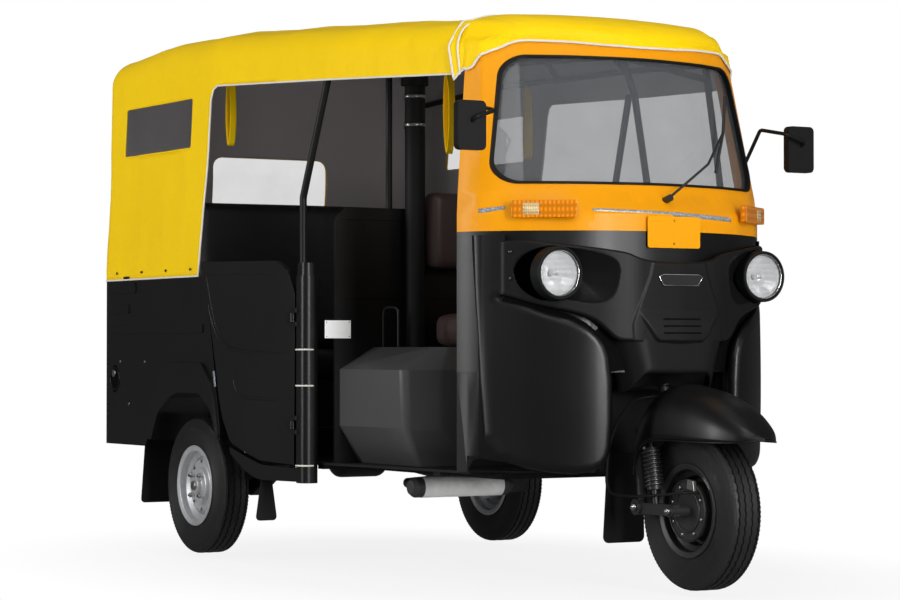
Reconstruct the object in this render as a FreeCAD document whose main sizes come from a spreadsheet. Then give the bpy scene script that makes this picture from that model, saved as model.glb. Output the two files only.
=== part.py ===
import FreeCAD, Part
import math
import os
import Sketcher

os.makedirs("parts", exist_ok=True)
document = FreeCAD.newDocument("AutoRickshaw")
sheet = document.addObject("Spreadsheet::Sheet", "Sizes")
Vector = FreeCAD.Vector


# Sizes are kept in the sheet, and worked out with this small class
class Size:
    """A number together with the sheet expression it comes from."""

    def __init__(self, value, text):
        self.value = float(value)
        self.text = text

    def join(self, other, sign, value):
        return Size(value, "(%s %s %s)" % (self.text, sign, as_size(other).text))

    def __add__(self, other):
        return self.join(other, "+", self.value + as_size(other).value)

    def __sub__(self, other):
        return self.join(other, "-", self.value - as_size(other).value)

    def __mul__(self, other):
        return self.join(other, "*", self.value * as_size(other).value)

    def __truediv__(self, other):
        return self.join(other, "/", self.value / as_size(other).value)

    def __radd__(self, other):
        return as_size(other) + self

    def __rsub__(self, other):
        return as_size(other) - self

    def __rmul__(self, other):
        return as_size(other) * self

    def __neg__(self):
        return Size(-self.value, "(0 - %s)" % self.text)


def as_size(number):
    if isinstance(number, Size):
        return number
    return Size(number, "%.6g" % number)


class Names:
    """Gives each size in the sheet by its name."""

    def __init__(self):
        self.rows = 0

    def add(self, name, value):
        self.rows += 1
        sheet.set("A%d" % self.rows, name)
        sheet.set("B%d" % self.rows, str(value))
        sheet.setAlias("B%d" % self.rows, name)
        setattr(self, name, Size(value, "Sizes." + name))


# Sizes in millimetres
size_values = {
    # Whole vehicle. Lengths run back from the front axle, heights up from the ground
    "axle_place": -1288, "wheelbase": 2127, "track_half": 607, "fit_gap": 0.3, "move_gap": 6,
    "panel": 4,
    # Wheels
    "wheel_radius": 239, "tyre_half": 56, "tread_half": 45, "bead_radius": 127,
    "flange_radius": 143.5, "rim_half": 49, "stud_ring": 50,
    # Side line of the cabin and tub
    "nose_half": 545, "nose_back": 447, "tub_half": 697, "taper_end": 1925, "rear_end": 2884,
    # Front body, bowed in plan from corner to corner
    "nose_front": 130, "corner_half": 528, "corner_place": 415, "flange_half": 551,
    "flange_place": 501, "cowl_low": 348, "cowl_top": 1078, "cowl_skin": 5, "well_half": 224,
    "well_back": 365, "well_top": 651, "mask_stand": 24, "panel_stand": 26,
    # Windscreen and the painted frame round it
    "crease_high": 1130, "screen_low": 1205, "screen_front": 205, "screen_half": 520,
    "screen_place": 420, "head_high": 1672, "head_front": 320, "head_half": 465,
    "head_place": 495, "frame_skin": 24, "opening_low": 1222, "opening_high": 1622,
    "opening_low_half": 500, "opening_high_half": 430,
    # Lamps and plate
    "lamp_place": 380, "lamp_front": 190, "lamp_high": 948, "lamp_radius": 68, "bowl_radius": 80,
    "plate_half": 97, "plate_low": 1028, "plate_high": 1124, "plate_hole": 3, "plate_pitch": 70,
    # Canopy
    "cloth": 5, "valance_low": 1600, "hem_low": 978, "quarter_front": 2024, "seam_place": 545,
    "window_low": 1430, "window_high": 1607, "back_window_half": 248,
    # Floor and frame
    "floor_top": 348, "floor_skin": 8, "rear_floor": 446, "rail_place": 300, "rail_wide": 50,
    "rail_high": 26, "case_high": 330,
    # Posts, doors and tub
    "post_place": 1335, "post_inset": 12, "post_radius": 31, "post_low": 280, "cap_low": 965,
    "cap_high": 1006, "door_front": 1394, "door_skin": 18, "hinge_place": 1384, "hinge_out": 13,
    "hinge_low": 471, "hinge_top": 826, "tub_low": 369, "tub_high": 990, "arch_open": 567,
    "arch_top": 673,
    # Steering
    "rake": 21.86, "neck_place": 199, "neck_high": 625, "guard_half": 117, "column_radius": 16,
    "fork_place": 88,
}
size = Names()
for name, value in size_values.items():
    size.add(name, value)


def bind(thing, name, value):
    value = as_size(value)
    thing.setExpression(name, value.text)


def place(thing, x=0, y=0, z=0):
    bind(thing, "Placement.Base.x", x)
    bind(thing, "Placement.Base.y", size.axle_place + y)
    bind(thing, "Placement.Base.z", z)
    return thing


def new_body(label, x=0, y=0, z=0):
    body = document.addObject("PartDesign::Body", label)
    place(body, x, y, z)
    return body


def sketch_on(body, plane, offset=0):
    sketch = body.newObject("Sketcher::SketchObject", "Outline")
    face = [item for item in body.Origin.OriginFeatures if item.Role == plane + "_Plane"][0]
    sketch.AttachmentSupport = [(face, "")]
    sketch.MapMode = "FlatFace"
    bind(sketch, "AttachmentOffset.Base.z", offset)
    return sketch


class Rules:
    """Gathers a sketch's constraints, so that they are solved once."""

    def __init__(self):
        self.items = []
        self.texts = []

    def add(self, kind, *places, size=None):
        if size is None:
            self.items.append(Sketcher.Constraint(kind, *places))
            return
        value = as_size(size)
        if value.text[0] not in "0123456789-":
            self.texts.append((len(self.items), value.text))
        self.items.append(Sketcher.Constraint(kind, *places, value.value))

    def fix(self, item, end, point):
        self.add("DistanceX", -1, 1, item, end, size=point[0])
        self.add("DistanceY", -1, 1, item, end, size=point[1])

    def apply(self, sketch):
        sketch.addConstraint(self.items)
        for number, text in self.texts:
            sketch.setExpression("Constraints[%d]" % number, text)


def outline(body, plane, points, offset=0, closed=True, tilt=0):
    """Draws a line round the points. A third entry rounds that corner by its radius."""
    sketch = sketch_on(body, plane, offset)
    if tilt:
        sketch.AttachmentOffset = FreeCAD.Placement(sketch.AttachmentOffset.Base,
                                                    FreeCAD.Rotation(Vector(1, 0, 0), tilt))
    draw_outline(sketch, points, closed)
    return sketch


def draw_outline(sketch, points, closed=True):
    count = len(points)
    spots = [Vector(as_size(p[0]).value, as_size(p[1]).value, 0) for p in points]
    rounds = [as_size(p[2]).value if len(p) > 2 else 0 for p in points]
    cuts = []
    for i in range(count):
        before = (spots[i - 1] - spots[i]).normalize()
        after = (spots[(i + 1) % count] - spots[i]).normalize()
        if rounds[i]:
            half = before.getAngle(after) / 2
            reach = rounds[i] / math.tan(half)
            middle = spots[i] + (before + after).normalize() * (rounds[i] / math.sin(half))
            cuts.append((spots[i] + before * reach, spots[i] + after * reach, middle))
        else:
            cuts.append((spots[i], spots[i], None))
    last = count if closed else count - 1
    lines = [Part.LineSegment(cuts[i][1], cuts[(i + 1) % count][0]) for i in range(last)]
    bends = [i for i in range(count) if rounds[i]]
    arcs = []
    for i in bends:
        start, end, middle = cuts[i]
        if (spots[i] - spots[i - 1]).cross(spots[(i + 1) % count] - spots[i]).z < 0:
            start, end = end, start
        angles = [math.atan2(p.y - middle.y, p.x - middle.x) for p in (start, end)]
        if angles[1] < angles[0]:
            angles[1] += 2 * math.pi
        arcs.append(Part.ArcOfCircle(Part.Circle(middle, Vector(0, 0, 1), rounds[i]), angles[0], angles[1]))
    sketch.addGeometry(lines + arcs, False)
    sketch.addGeometry([Part.Point(spots[i]) for i in bends], True)
    rules = Rules()
    for i in range(count):
        into, out = (i - 1) % last, i % last
        if not closed and i in (0, count - 1):
            rules.fix(0 if i == 0 else last - 1, 1 if i == 0 else 2, points[i])
        elif not rounds[i]:
            rules.add("Coincident", into, 2, out, 1)
            rules.fix(out, 1, points[i])
        else:
            arc = last + bends.index(i)
            corner = arc + len(bends)
            turn = (spots[i] - spots[i - 1]).cross(spots[(i + 1) % count] - spots[i]).z
            first, second = (1, 2) if turn > 0 else (2, 1)
            rules.add("Tangent", into, 2, arc, first)
            rules.add("Tangent", out, 1, arc, second)
            rules.add("Radius", arc, size=points[i][2])
            rules.fix(corner, 1, points[i])
            rules.add("PointOnObject", corner, 1, into)
            rules.add("PointOnObject", corner, 1, out)
    rules.apply(sketch)


def circle_on(body, plane, spots, radius, offset=0):
    sketch = sketch_on(body, plane, offset)
    value = as_size(radius).value
    sketch.addGeometry([Part.Circle(Vector(as_size(x).value, as_size(y).value, 0), Vector(0, 0, 1), value)
                        for x, y in spots], False)
    rules = Rules()
    for item, spot in enumerate(spots):
        rules.add("Radius", item, size=radius)
        rules.fix(item, 3, spot)
    rules.apply(sketch)
    return sketch


def pad(body, sketch, length, middle=False, back=False):
    feature = body.newObject("PartDesign::Pad", "Pad")
    feature.Profile = sketch
    bind(feature, "Length", length)
    feature.Midplane = middle
    feature.Reversed = back
    body.Tip = feature
    return feature


def pocket(body, sketch, length, middle=False, back=False):
    feature = body.newObject("PartDesign::Pocket", "Pocket")
    feature.Profile = sketch
    bind(feature, "Length", length)
    feature.Midplane = middle
    feature.Reversed = back
    body.Tip = feature
    return feature


def revolve(body, sketch, axis="H_Axis"):
    feature = body.newObject("PartDesign::Revolution", "Revolution")
    feature.Profile = sketch
    feature.ReferenceAxis = (sketch, [axis])
    feature.Angle = 360
    body.Tip = feature
    return feature


def loft(body, sketches, cut=False, ruled=False):
    kind = "PartDesign::SubtractiveLoft" if cut else "PartDesign::AdditiveLoft"
    feature = body.newObject(kind, "Loft")
    feature.Profile = sketches[0]
    feature.Sections = sketches[1:]
    feature.Ruled = ruled
    body.Tip = feature
    return feature


def box(label, low, high):
    thing = document.addObject("Part::Box", label)
    for name, a, b in zip(("Length", "Width", "Height"), low, high):
        bind(thing, name, as_size(b) - a)
    place(thing, *low)
    return thing


def rod(label, start, length, radius, axis="Z"):
    thing = document.addObject("Part::Cylinder", label)
    bind(thing, "Radius", radius)
    bind(thing, "Height", length)
    place(thing, *start)
    if axis == "X":
        thing.Placement.Rotation = FreeCAD.Rotation(Vector(0, 1, 0), 90)
    if axis == "Y":
        thing.Placement.Rotation = FreeCAD.Rotation(Vector(1, 0, 0), -90)
    return thing


def boolean(kind, label, things):
    result = document.addObject("Part::" + kind, label)
    if kind in ("MultiFuse", "MultiCommon"):
        result.Shapes = things
    else:
        result.Base, result.Tool = things
    return result


def fuse(label, *things):
    return boolean("MultiFuse", label, list(things))


def cut(label, base, tool):
    return boolean("Cut", label, [base, tool])


def bent_tube(points, radius, bend):
    """A round bar along the points, its corners bent by the radius."""
    spots = [Vector(*[as_size(value).value for value in point]) for point in points]
    edges, start = [], spots[0]
    for i in range(1, len(spots) - 1):
        before = (spots[i - 1] - spots[i]).normalize()
        after = (spots[i + 1] - spots[i]).normalize()
        half = before.getAngle(after) / 2
        reach = bend / math.tan(half)
        first, last = spots[i] + before * reach, spots[i] + after * reach
        heart = spots[i] + (before + after).normalize() * (bend / math.sin(half))
        top = heart + (spots[i] - heart).normalize() * bend
        if (first - start).Length > 0.01:
            edges.append(Part.makeLine(start, first))
        edges.append(Part.Arc(first, top, last).toShape())
        start = last
    edges.append(Part.makeLine(start, spots[-1]))
    path = Part.Wire(edges)
    ring = Part.Wire(Part.makeCircle(radius, spots[0], spots[1] - spots[0]))
    return path.makePipeShell([ring], True, True)


def shape_node(label, shapes, x=0, y=0, z=0):
    """Keeps shapes made by hand as one feature, put in its place afterwards."""
    thing = document.addObject("Part::Feature", label)
    whole = shapes[0]
    if len(shapes) > 1:
        whole = whole.fuse(shapes[1:])
    thing.Shape = whole
    place(thing, x, y, z)
    return thing


def tubes(label, paths, radius, bend=40):
    return shape_node(label, [bent_tube(path, as_size(radius).value, bend) for path in paths])


def side_at(y, inward=0):
    """Half width of the cabin's side at a length ahead of the tub."""
    slope = (size.tub_half - size.nose_half) / (size.taper_end - size.nose_back)
    return size.nose_half + (as_size(y) - size.nose_back) * slope - inward


nodes = {}


def keep(name, thing):
    thing.Label = name
    nodes[name] = thing
    return thing


nodes = {}


def keep(name, thing):
    thing.Label = name
    nodes[name] = thing
    return thing


def both(half):
    """Completes an outline drawn up to the middle line by its mirror image."""
    rest = [(-as_size(p[0]),) + tuple(p[1:]) for p in reversed(half) if as_size(p[0]).value != 0]
    return half + rest


# Wheels
def tyre(name, x, y):
    body = new_body(name, x, y, size.wheel_radius)
    r, w, t, b = size.wheel_radius, size.tyre_half, size.tread_half, size.bead_radius
    seat = size.rim_half - size.fit_gap
    half = [(6 - seat, b), (-seat, b + 6, 3), (-seat, size.flange_radius + 1), (1 - w, b + 32, 10),
            (-w, r - 46, 30), (-t - 1, r - 6, 8), (-t + 6, r)]
    for place in (34, 12):
        half += [(-place - 2.5, r), (-place - 1.5, r - 6), (-place + 1.5, r - 6), (-place + 2.5, r)]
    revolve(body, outline(body, "XZ", both(half)))
    keep(name, body)


def rim_ring(body):
    b, f, w = size.bead_radius - size.fit_gap, size.flange_radius, size.rim_half
    half = [(-w - 6, f - 4, 3), (-w - 2, f, 2), (-w, f - 3, 2), (-w, b, 4), (-28, b, 6), (-18, b - 20, 6)]
    inner = [(w + 1, b - 4, 4), (28, b - 4, 6), (18, b - 24, 6)]
    inner += [(-as_size(p[0]),) + tuple(p[1:]) for p in reversed(inner)]
    revolve(body, outline(body, "XZ", both(half) + inner))


def ring_of(count, radius, start=0):
    """Places set evenly on a circle."""
    turns = [start + 2 * math.pi * item / count for item in range(count)]
    return [(radius * math.cos(turn), radius * math.sin(turn)) for turn in turns]


def rear_rim(name, x, y, face):
    """A pressed disc rim, dished to the outside, with its brake drum behind it."""
    body = new_body(name, x, y, size.wheel_radius)
    rim_ring(body)
    b = size.bead_radius - 23
    disc = [(8, b), (26, b - 14, 8), (22, 72, 10), (38, 60, 8), (38, 30, 3), (52, 28, 3), (52, 0), (-60, 0),
            (-60, 80, 3), (10, 80, 3), (17, 74), (20, b - 16, 8), (2, b)]
    revolve(body, outline(body, "XZ", [(face * p[0],) + tuple(p[1:]) for p in disc]))
    pocket(body, circle_on(body, "YZ", ring_of(8, 86), 8, 40 * face), 45, back=face < 0)
    studs = ring_of(4, size.stud_ring, math.pi / 4)
    pad(body, circle_on(body, "YZ", studs, 8, 37 * face), 11, back=face < 0)
    keep(name, body)


def front_rim():
    """The front rim is open on the fork's side, with the disc at the far side."""
    body = new_body("FrontRim", 0, 0, size.wheel_radius)
    rim_ring(body)
    b = size.bead_radius - 23
    revolve(body, outline(body, "XZ", [(18, b), (30, b - 12, 8), (30, 0), (-36, 0), (-36, 22), (-20, 24, 6),
                                       (-20, 60), (-32, 70), (-32, 86), (16, 86, 8), (12, b)]))
    keep("front_rim", body)


def wheels():
    tyre("front_tyre", 0, 0)
    front_rim()
    for side, word in ((-1, "right"), (1, "left")):
        tyre("rear_%s_tyre" % word, side * size.track_half, size.wheelbase)
        rear_rim("rear_%s_rim" % word, side * size.track_half, size.wheelbase, side)


# Frame, floor and running gear
def frame():
    pieces = []
    floor_low, rear_low = size.floor_top - size.floor_skin, size.rear_floor - size.floor_skin
    low, rear = floor_low - size.rail_high, rear_low - size.rail_high
    for side in (-1, 1):
        body = new_body("Rail")
        pad(body, outline(body, "YZ", [(600, low), (1790, low), (1850, rear), (2850, rear),
                                       (2850, rear_low), (1812, rear_low), (1790, floor_low),
                                       (600, floor_low)], side * size.rail_place), size.rail_wide, True)
        pieces.append(body)
    inside = size.rail_place - size.rail_wide / 2
    for y, top, under in ((600, floor_low, low), (830, floor_low, low), (1280, floor_low, low),
                          (2420, rear_low, rear), (2790, rear_low, rear)):
        pieces.append(box("Member", (-inside, y, under), (inside, y + 50, top)))
    for side in (-1, 1):
        for y in (660, 1300, 1640):
            end = side_at(y, 50)
            pieces.append(box("Outrigger", (size.rail_place + size.rail_wide / 2 if side > 0 else -end, y,
                                            low + 12),
                              (end if side > 0 else -size.rail_place - size.rail_wide / 2, y + 40,
                               floor_low)))
        for y in (1930, 2600):
            pieces.append(box("Outrigger", (size.rail_place + size.rail_wide / 2 if side > 0 else -470, y,
                                            rear + 10),
                              (470 if side > 0 else -size.rail_place - size.rail_wide / 2, y + 40,
                               rear_low)))
    keep("chassis_frame", fuse("Frame", *pieces))


def floor():
    body = new_body("Floor")
    y0, y1 = size.well_back + 8, size.rear_end - size.cloth - size.panel - 2 * size.fit_gap
    left = [(-224, y0), (-224, 492), (-510, 492), (-side_at(560, 46), 560), (-side_at(1300, 46), 1300),
            (-side_at(1770, 46), 1770), (-470, 1790)]
    right = [(-as_size(p[0]),) + tuple(p[1:]) for p in reversed(left)]
    pad(body, outline(body, "XY", left + right, size.floor_top - size.floor_skin), size.floor_skin)
    pad(body, outline(body, "XY", [(-470, 1790), (-470, 1784), (470, 1784), (470, 1790)],
                      size.floor_top - size.floor_skin), size.rear_floor - size.floor_top + size.floor_skin)
    rear = [(-470, 1784), (-470, 2450), (-670, 2450), (-670, y1, 60)]
    pad(body, outline(body, "XY", both(rear), size.rear_floor - size.floor_skin), size.floor_skin)
    hole = outline(body, "XY", [(-220, 872), (220, 872), (220, 1240), (-220, 1240)], size.floor_top + 1)
    pocket(body, hole, size.floor_skin + 2)
    keep("floor_pan", body)


def running_gear():
    """The engine stands under the driver, and shafts take its drive to the rear wheels."""
    keep("engine_block", fuse("EngineAndGears", box("Engine", (-200, 885, 322), (200, 1228, 640)),
                              box("Gears", (-60, 1060, 246), (60, 1228, 330))))
    hub, high, case_high = size.wheelbase, size.wheel_radius, size.case_high
    inside = size.track_half - 60 - size.fit_gap
    case = new_body("Case", 0, hub, case_high)
    revolve(case, outline(case, "XY", [(-160, 0), (-160, 34, 6), (-118, 38, 20), (-84, 76, 30),
                                       (84, 76, 30), (118, 38, 20), (160, 34, 6), (160, 0)]))
    pieces = [case, rod("NoseOfCase", (0, hub - 150, case_high), 110, 42, "Y")]
    shaft = bent_tube([(0, 1228.3, 276), (0, 1380, 276), (0, 1990, case_high.value),
                       (0, 2010, case_high.value)], 20, 30)
    halves = []
    for side in (-1, 1):
        reach = inside.value
        halves.append(bent_tube([(side * 150, hub.value, case_high.value),
                                 (side * 190, hub.value, case_high.value),
                                 (side * (reach - 70), hub.value, high.value),
                                 (side * reach, hub.value, high.value)], 14, 20))
        arm = new_body("Arm", side * 440, 0, 0)
        pad(arm, outline(arm, "YZ", [(1830, 352, 16), (1860, 396, 10), (1900, 352, 40),
                                     (hub + 10, high + 34, 20), (hub + 30, high - 34, 20),
                                     (hub - 60, high - 38, 30), (1850, 318, 40)]), 46, True)
        pieces.append(arm)
        pieces.append(rod("Stub", (side * 440 if side > 0 else -inside, hub, high), inside - 440, 30, "X"))
        pieces.append(rod("Spring", (side * 440, hub - 60, high + 20),
                          size.rear_floor - size.floor_skin - high - 20 -
                          size.fit_gap, 44))
        pieces.append(box("ArmBracket", (side * 440 - 14, 1836, 380),
                          (side * 440 + 14, 1880, size.rear_floor - size.floor_skin)))
    keep("rear_axle", fuse("Axle", shape_node("Shafts", [shaft] + halves), *pieces))


# Front body
def bow(front, corner_half, corner_place, inset=0, shift=0):
    """Points of the bowed front, from its right corner to its middle."""
    depth = corner_place - front
    half = corner_half - inset
    return [(-half, corner_place + shift), (-half * 0.82, front + depth * 0.60 + shift, 260),
            (-half * 0.5, front + depth * 0.215 + shift, 500), (0, front - depth * 0.035 + shift, 500)]


def front_plan(inset=0, back=0):
    return both([(inset - size.flange_half, size.flange_place + back)] +
                bow(size.nose_front, size.corner_half, size.corner_place, inset, inset))


def shield_plan(side, inset, drop, reach):
    """One leg shield: its front follows the bow, and its inner wall stands beside the wheel."""
    a, b, f = size.corner_half, size.corner_place, size.nose_front
    points = [(-a - 8 + inset, 480), (-a + inset + drop, b + inset + drop, 12),
              (-430 + inset / 2, f + 160 + inset + drop * 1.4, 160),
              (-size.well_half - 30 + inset / 4, f + 42 + inset + drop + reach, 46),
              (-size.well_half - inset, f + 96 + drop + reach, 30), (-size.well_half - inset, 480)]
    return [(as_size(p[0]) * -side,) + tuple(p[1:]) for p in points]


def mirrored(points, side):
    """Points drawn for the right side, moved over to the left where that is asked for."""
    return [(as_size(p[0]) * -side,) + tuple(p[1:]) for p in points]


def front_cowl():
    """The nose and leg shields under the split line, with the wheel's well left open."""
    body = new_body("Cowl")
    low, level, skin = size.cowl_low, size.well_top, size.cowl_skin
    inner = front_plan(skin)
    inner[0] = (skin - size.flange_half, size.flange_place)
    inner[-1] = (size.flange_half - skin, size.flange_place)
    pad(body, outline(body, "XY", front_plan() + inner[::-1], level), size.cowl_top - level)
    pad(body, outline(body, "XY", front_plan(), level), skin)
    for side in (-1, 1):
        heights = ((low, 26, 0), (low + 50, 4, 0), (level + 1, 1, 0))
        shields = [outline(body, "XY", shield_plan(side, 0, drop, reach), high_at)
                   for high_at, drop, reach in heights]
        loft(body, shields, ruled=True)
        crest(body, side)
    for side in (-1, 1):
        wall = [(-size.flange_half, size.flange_place), (-534, 470), (-529, 470),
                (skin - size.flange_half, size.flange_place)]
        pad(body, outline(body, "XY", mirrored(wall, side), low), level + 1 - low)
        inside = [(-531, 490), (-521, 424, 12), (-424, 306, 160), (-270, 212, 30),
                  (-size.well_half - skin, 250, 24), (-size.well_half - skin, 490)]
        pocket(body, outline(body, "XY", mirrored(inside, side), low + skin), level - low - skin, back=True)
        upper = [(-531, 490), (-521, 424, 12), (-424, 306, 160), (-270, 224, 30),
                 (-210, 250, 24), (-210, 490)]
        pocket(body, outline(body, "XY", mirrored(upper, side), level + skin), 240, back=True)
    width = size.well_half + skin / 2
    pad(body, outline(body, "XY", [(-width, size.well_back), (width, size.well_back),
                                   (width, size.well_back + skin), (-width, size.well_back + skin)], low),
        level + 1 - low)
    nose(body)
    pocket(body, outline(body, "YZ", [(60, 560), (60, 655), (size.nose_front - 22, 655), (190, 600),
                                      (330, 585), (330, 560)]), 360, True)
    column = rod("ColumnHole", (0, size.neck_place - 125 * 0.40124, 500), 420, size.column_radius + 12)
    column.Placement.Rotation = FreeCAD.Rotation(Vector(1, 0, 0), -size.rake.value)
    tools = [column]
    for side in (-1, 1):
        tools.append(rod("BowlHole", (side * size.lamp_place, 120, size.lamp_high), 220,
                         size.bowl_radius + size.fit_gap, "Y"))
    keep("front_cowl", cut("CowlOpen", body, fuse("CowlHoles", *tools)))


def crest(body, side):
    """The swelling over a leg shield, which fades into the front under the mask."""
    level = size.well_top
    heights = ((level + 1, 1, 0), (level + 60, 0, 0), (860, 3, 39))
    loft(body, [outline(body, "XY", shield_plan(side, 0, drop, reach), high_at)
                for high_at, drop, reach in heights], ruled=True)


def nose(body):
    """The nose bulges out under the mask, over the steering head."""
    plans = []
    for (half, side_place, front), high_at in (((150, 215, 110), 588), ((168, 200, 112), 660),
                                               ((205, 178, 112), 760)):
        plans.append(outline(body, "XY", both([(-half, size.well_back - 60), (-half, side_place, 20),
                                               (-half * 0.62, front, 30)]), high_at))
    loft(body, plans, ruled=True)


def cowl_block():
    """The cowl's outer form without its hollow, to trim what lies on it."""
    body = new_body("CowlBlock")
    pad(body, outline(body, "XY", front_plan(), size.well_top), size.cowl_top - size.well_top)
    for side in (-1, 1):
        crest(body, side)
    nose(body)
    return body


def headlamp_mask():
    """The mask stands proud of the cowl, with an eye round each lamp and a louvred lip."""
    block = new_body("MaskBlock")
    s = size.mask_stand
    half = [(-470, 430), (-500, 352, 14), (-430, 288 - s, 200), (-230, 166 - s, 200),
            (-160, 138 - s, 40), (-100, size.nose_front - size.panel_stand + 8, 15),
            (0, size.nose_front - size.panel_stand, 400)]
    pad(block, outline(block, "XY", both(half), 725), 330)
    face = new_body("MaskFace")
    edge = [(-490, 888, 14), (-492, 1048, 14), (-404, 1052, 40), (-253, 1036, 60), (-170, 1012, 30)]
    low = [(-454, 866, 30), (-353, 822, 80), (-286, 789, 60), (-242, 742, 10), (-178, 752, 20),
           (-80, 735, 14)]
    points = edge + mirrored(edge[::-1], 1) + mirrored(low, 1) + low[::-1]
    pad(face, outline(face, "XZ", points), 1000, True)
    mask = boolean("MultiCommon", "MaskWhole", [block, face])
    mask = cut("MaskTrimmed", mask, cowl_block())
    tools = []
    for side in (-1, 1):
        eye = new_body("Eye")
        wide = [(-462, 972, 30), (-422, 1034, 40), (-320, 1026, 60), (-232, 1006, 40), (-198, 960, 30),
                (-200, 912, 30), (-240, 862, 30), (-300, 858, 60), (-390, 872, 60)]
        deep = [(-438, 952, 30), (-420, 1010, 30), (-375, 1022, 30), (-345, 1010, 30), (-322, 965, 20),
                (-322, 925, 20), (-345, 885, 20), (-375, 876, 30), (-420, 892, 30)]
        plans = [outline(eye, "XZ", mirrored(points, side), depth) for points,
                 depth in ((wide, -100), (deep, -270))]
        loft(eye, plans, ruled=True)
        tools.append(eye)
        tools.append(rod("BowlHole", (side * size.lamp_place, 120, size.lamp_high), 220,
                         size.bowl_radius + size.fit_gap, "Y"))
    mask = cut("MaskOpen", mask, fuse("Eyes", *tools))
    lip = new_body("Lip")
    pad(lip, outline(lip, "XZ", both([(-150, 822, 10), (-86, 748, 20), (0, 742, 200)]) +
                     [(150, 830), (-150, 830)], size.panel_stand - size.nose_front - 2), 14)
    slot = outline(lip, "XZ", [(-70, 763), (70, 763), (70, 768), (-70, 768)], -60)
    slots = pocket(lip, slot, 80, True)
    row = lip.newObject("PartDesign::LinearPattern", "Slots")
    row.Originals = [slots]
    row.Direction = ([item for item in lip.Origin.OriginFeatures if item.Role == "Z_Axis"][0], [""])
    row.Length = 44
    row.Occurrences = 3
    lip.Tip = row
    keep("headlamp_mask", fuse("Mask", mask, lip))


def lamps():
    bowls, lenses = [], []
    for side in (-1, 1):
        x, y, z = side * size.lamp_place, size.lamp_front, size.lamp_high
        bowl = new_body("Bowl", x, y, z)
        ring = [(size.bowl_radius, -4, 3), (size.bowl_radius, 40, 12), (52, 66, 12), (0, 66), (0, 60),
                (48, 60, 10), (size.lamp_radius + size.fit_gap, 30, 10),
                (size.lamp_radius + size.fit_gap, -4)]
        revolve(bowl, outline(bowl, "XY", ring), "V_Axis")
        bowls.append(bowl)
        lens = new_body("Lens", x, y, z)
        face = [(0, -10), (40, -6, 60), (size.lamp_radius, 2, 3), (size.lamp_radius, 8), (0, 8)]
        revolve(lens, outline(lens, "XY", face), "V_Axis")
        lenses.append(lens)
    keep("headlamp_bowls", fuse("Bowls", *bowls))
    keep("headlamp_lenses", fuse("Lenses", *lenses))
    marks = []
    for side in (-1, 1):
        mark = new_body("Indicator", side * 382.8, 266.2, 1143)
        mark.setExpression("Placement.Rotation.Yaw", "%g" % (side * 37.0))
        pad(mark, outline(mark, "XZ", [(-100, -26, 8), (100, -26, 8), (100, 26, 8), (-100, 26, 8)]), 22)
        marks.append(mark)
    keep("front_indicators", fuse("Indicators", *marks))
    plate = new_body("Plate")
    p, low, high = size.plate_half, size.plate_low, size.plate_high
    pad(plate, outline(plate, "XZ", [(-p, low, 8), (p, low, 8), (p, high, 8), (-p, high, 8)],
                       -size.nose_front - 7.6), 3)
    middle = (low + high) / 2
    holes = [(0, middle - size.plate_pitch / 2), (0, middle + size.plate_pitch / 2)]
    pocket(plate, circle_on(plate, "XZ", holes, size.plate_hole, 20 - size.nose_front), 60)
    keep("front_plate", plate)


nodes_block = {}


def frame_plan(front, half, place, flange, inset=0, back=0):
    return both([(inset - half - flange[0], place + flange[1] + back)] + bow(front, half, place, inset,
            inset))


def frame_body(name, inset, back):
    body = new_body(name)
    levels = (
        (size.cowl_top, size.nose_front, size.corner_half, size.corner_place, (23, 86)),
        (size.crease_high, size.nose_front + 2, size.corner_half, size.corner_place, (23, 86)),
        (size.screen_low, size.screen_front, size.screen_half, size.screen_place, (26, 84)),
        (size.head_high, size.head_front, size.head_half, size.head_place, (18, 62)))
    plans = [outline(body, "XY", frame_plan(front, half, place, flange, inset, back), level)
             for level, front, half, place, flange in levels]
    loft(body, plans, ruled=True)
    return body


def screen_window(name, grow, depth):
    """The windscreen's opening as a block, grown all round by an amount."""
    body = new_body(name)
    low, high = size.opening_low - grow, size.opening_high + grow
    a, b = size.opening_low_half + grow, size.opening_high_half + grow
    pad(body, outline(body, "XZ", [(-a, low, 60), (a, low, 60), (b, high, 80), (-b, high, 80)], -depth),
        460,
        True)
    return body


def cab_surround():
    outer = frame_body("FrameOuter", 0, 0)
    inner = frame_body("FrameInner", size.frame_skin, 40)
    shell = cut("FrameShell", outer, inner)
    window = screen_window("FrameWindow", 0, 300)
    keep("cab_surround", cut("Surround", shell, window))
    nodes_block["surround"] = frame_body("SurroundBlock", -size.fit_gap, 0)
    glass_out = frame_body("GlassOuter", 8, 40)
    glass_in = frame_body("GlassInner", 14, 50)
    pane = cut("Pane", glass_out, glass_in)
    inside = screen_window("GlassWindow", -8, 300)
    keep("windscreen_glass", boolean("MultiCommon", "Glass", [pane, inside]))
    seal_out = frame_body("SealOuter", -6, 0)
    seal_in = frame_body("SealInner", 18, 40)
    band = cut("SealBand", seal_out, seal_in)
    rim_out = screen_window("SealRim", 0, 300)
    keep("windscreen_seal", cut("Seal", boolean("MultiCommon", "SealRing", [band, rim_out]), inside))


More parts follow.
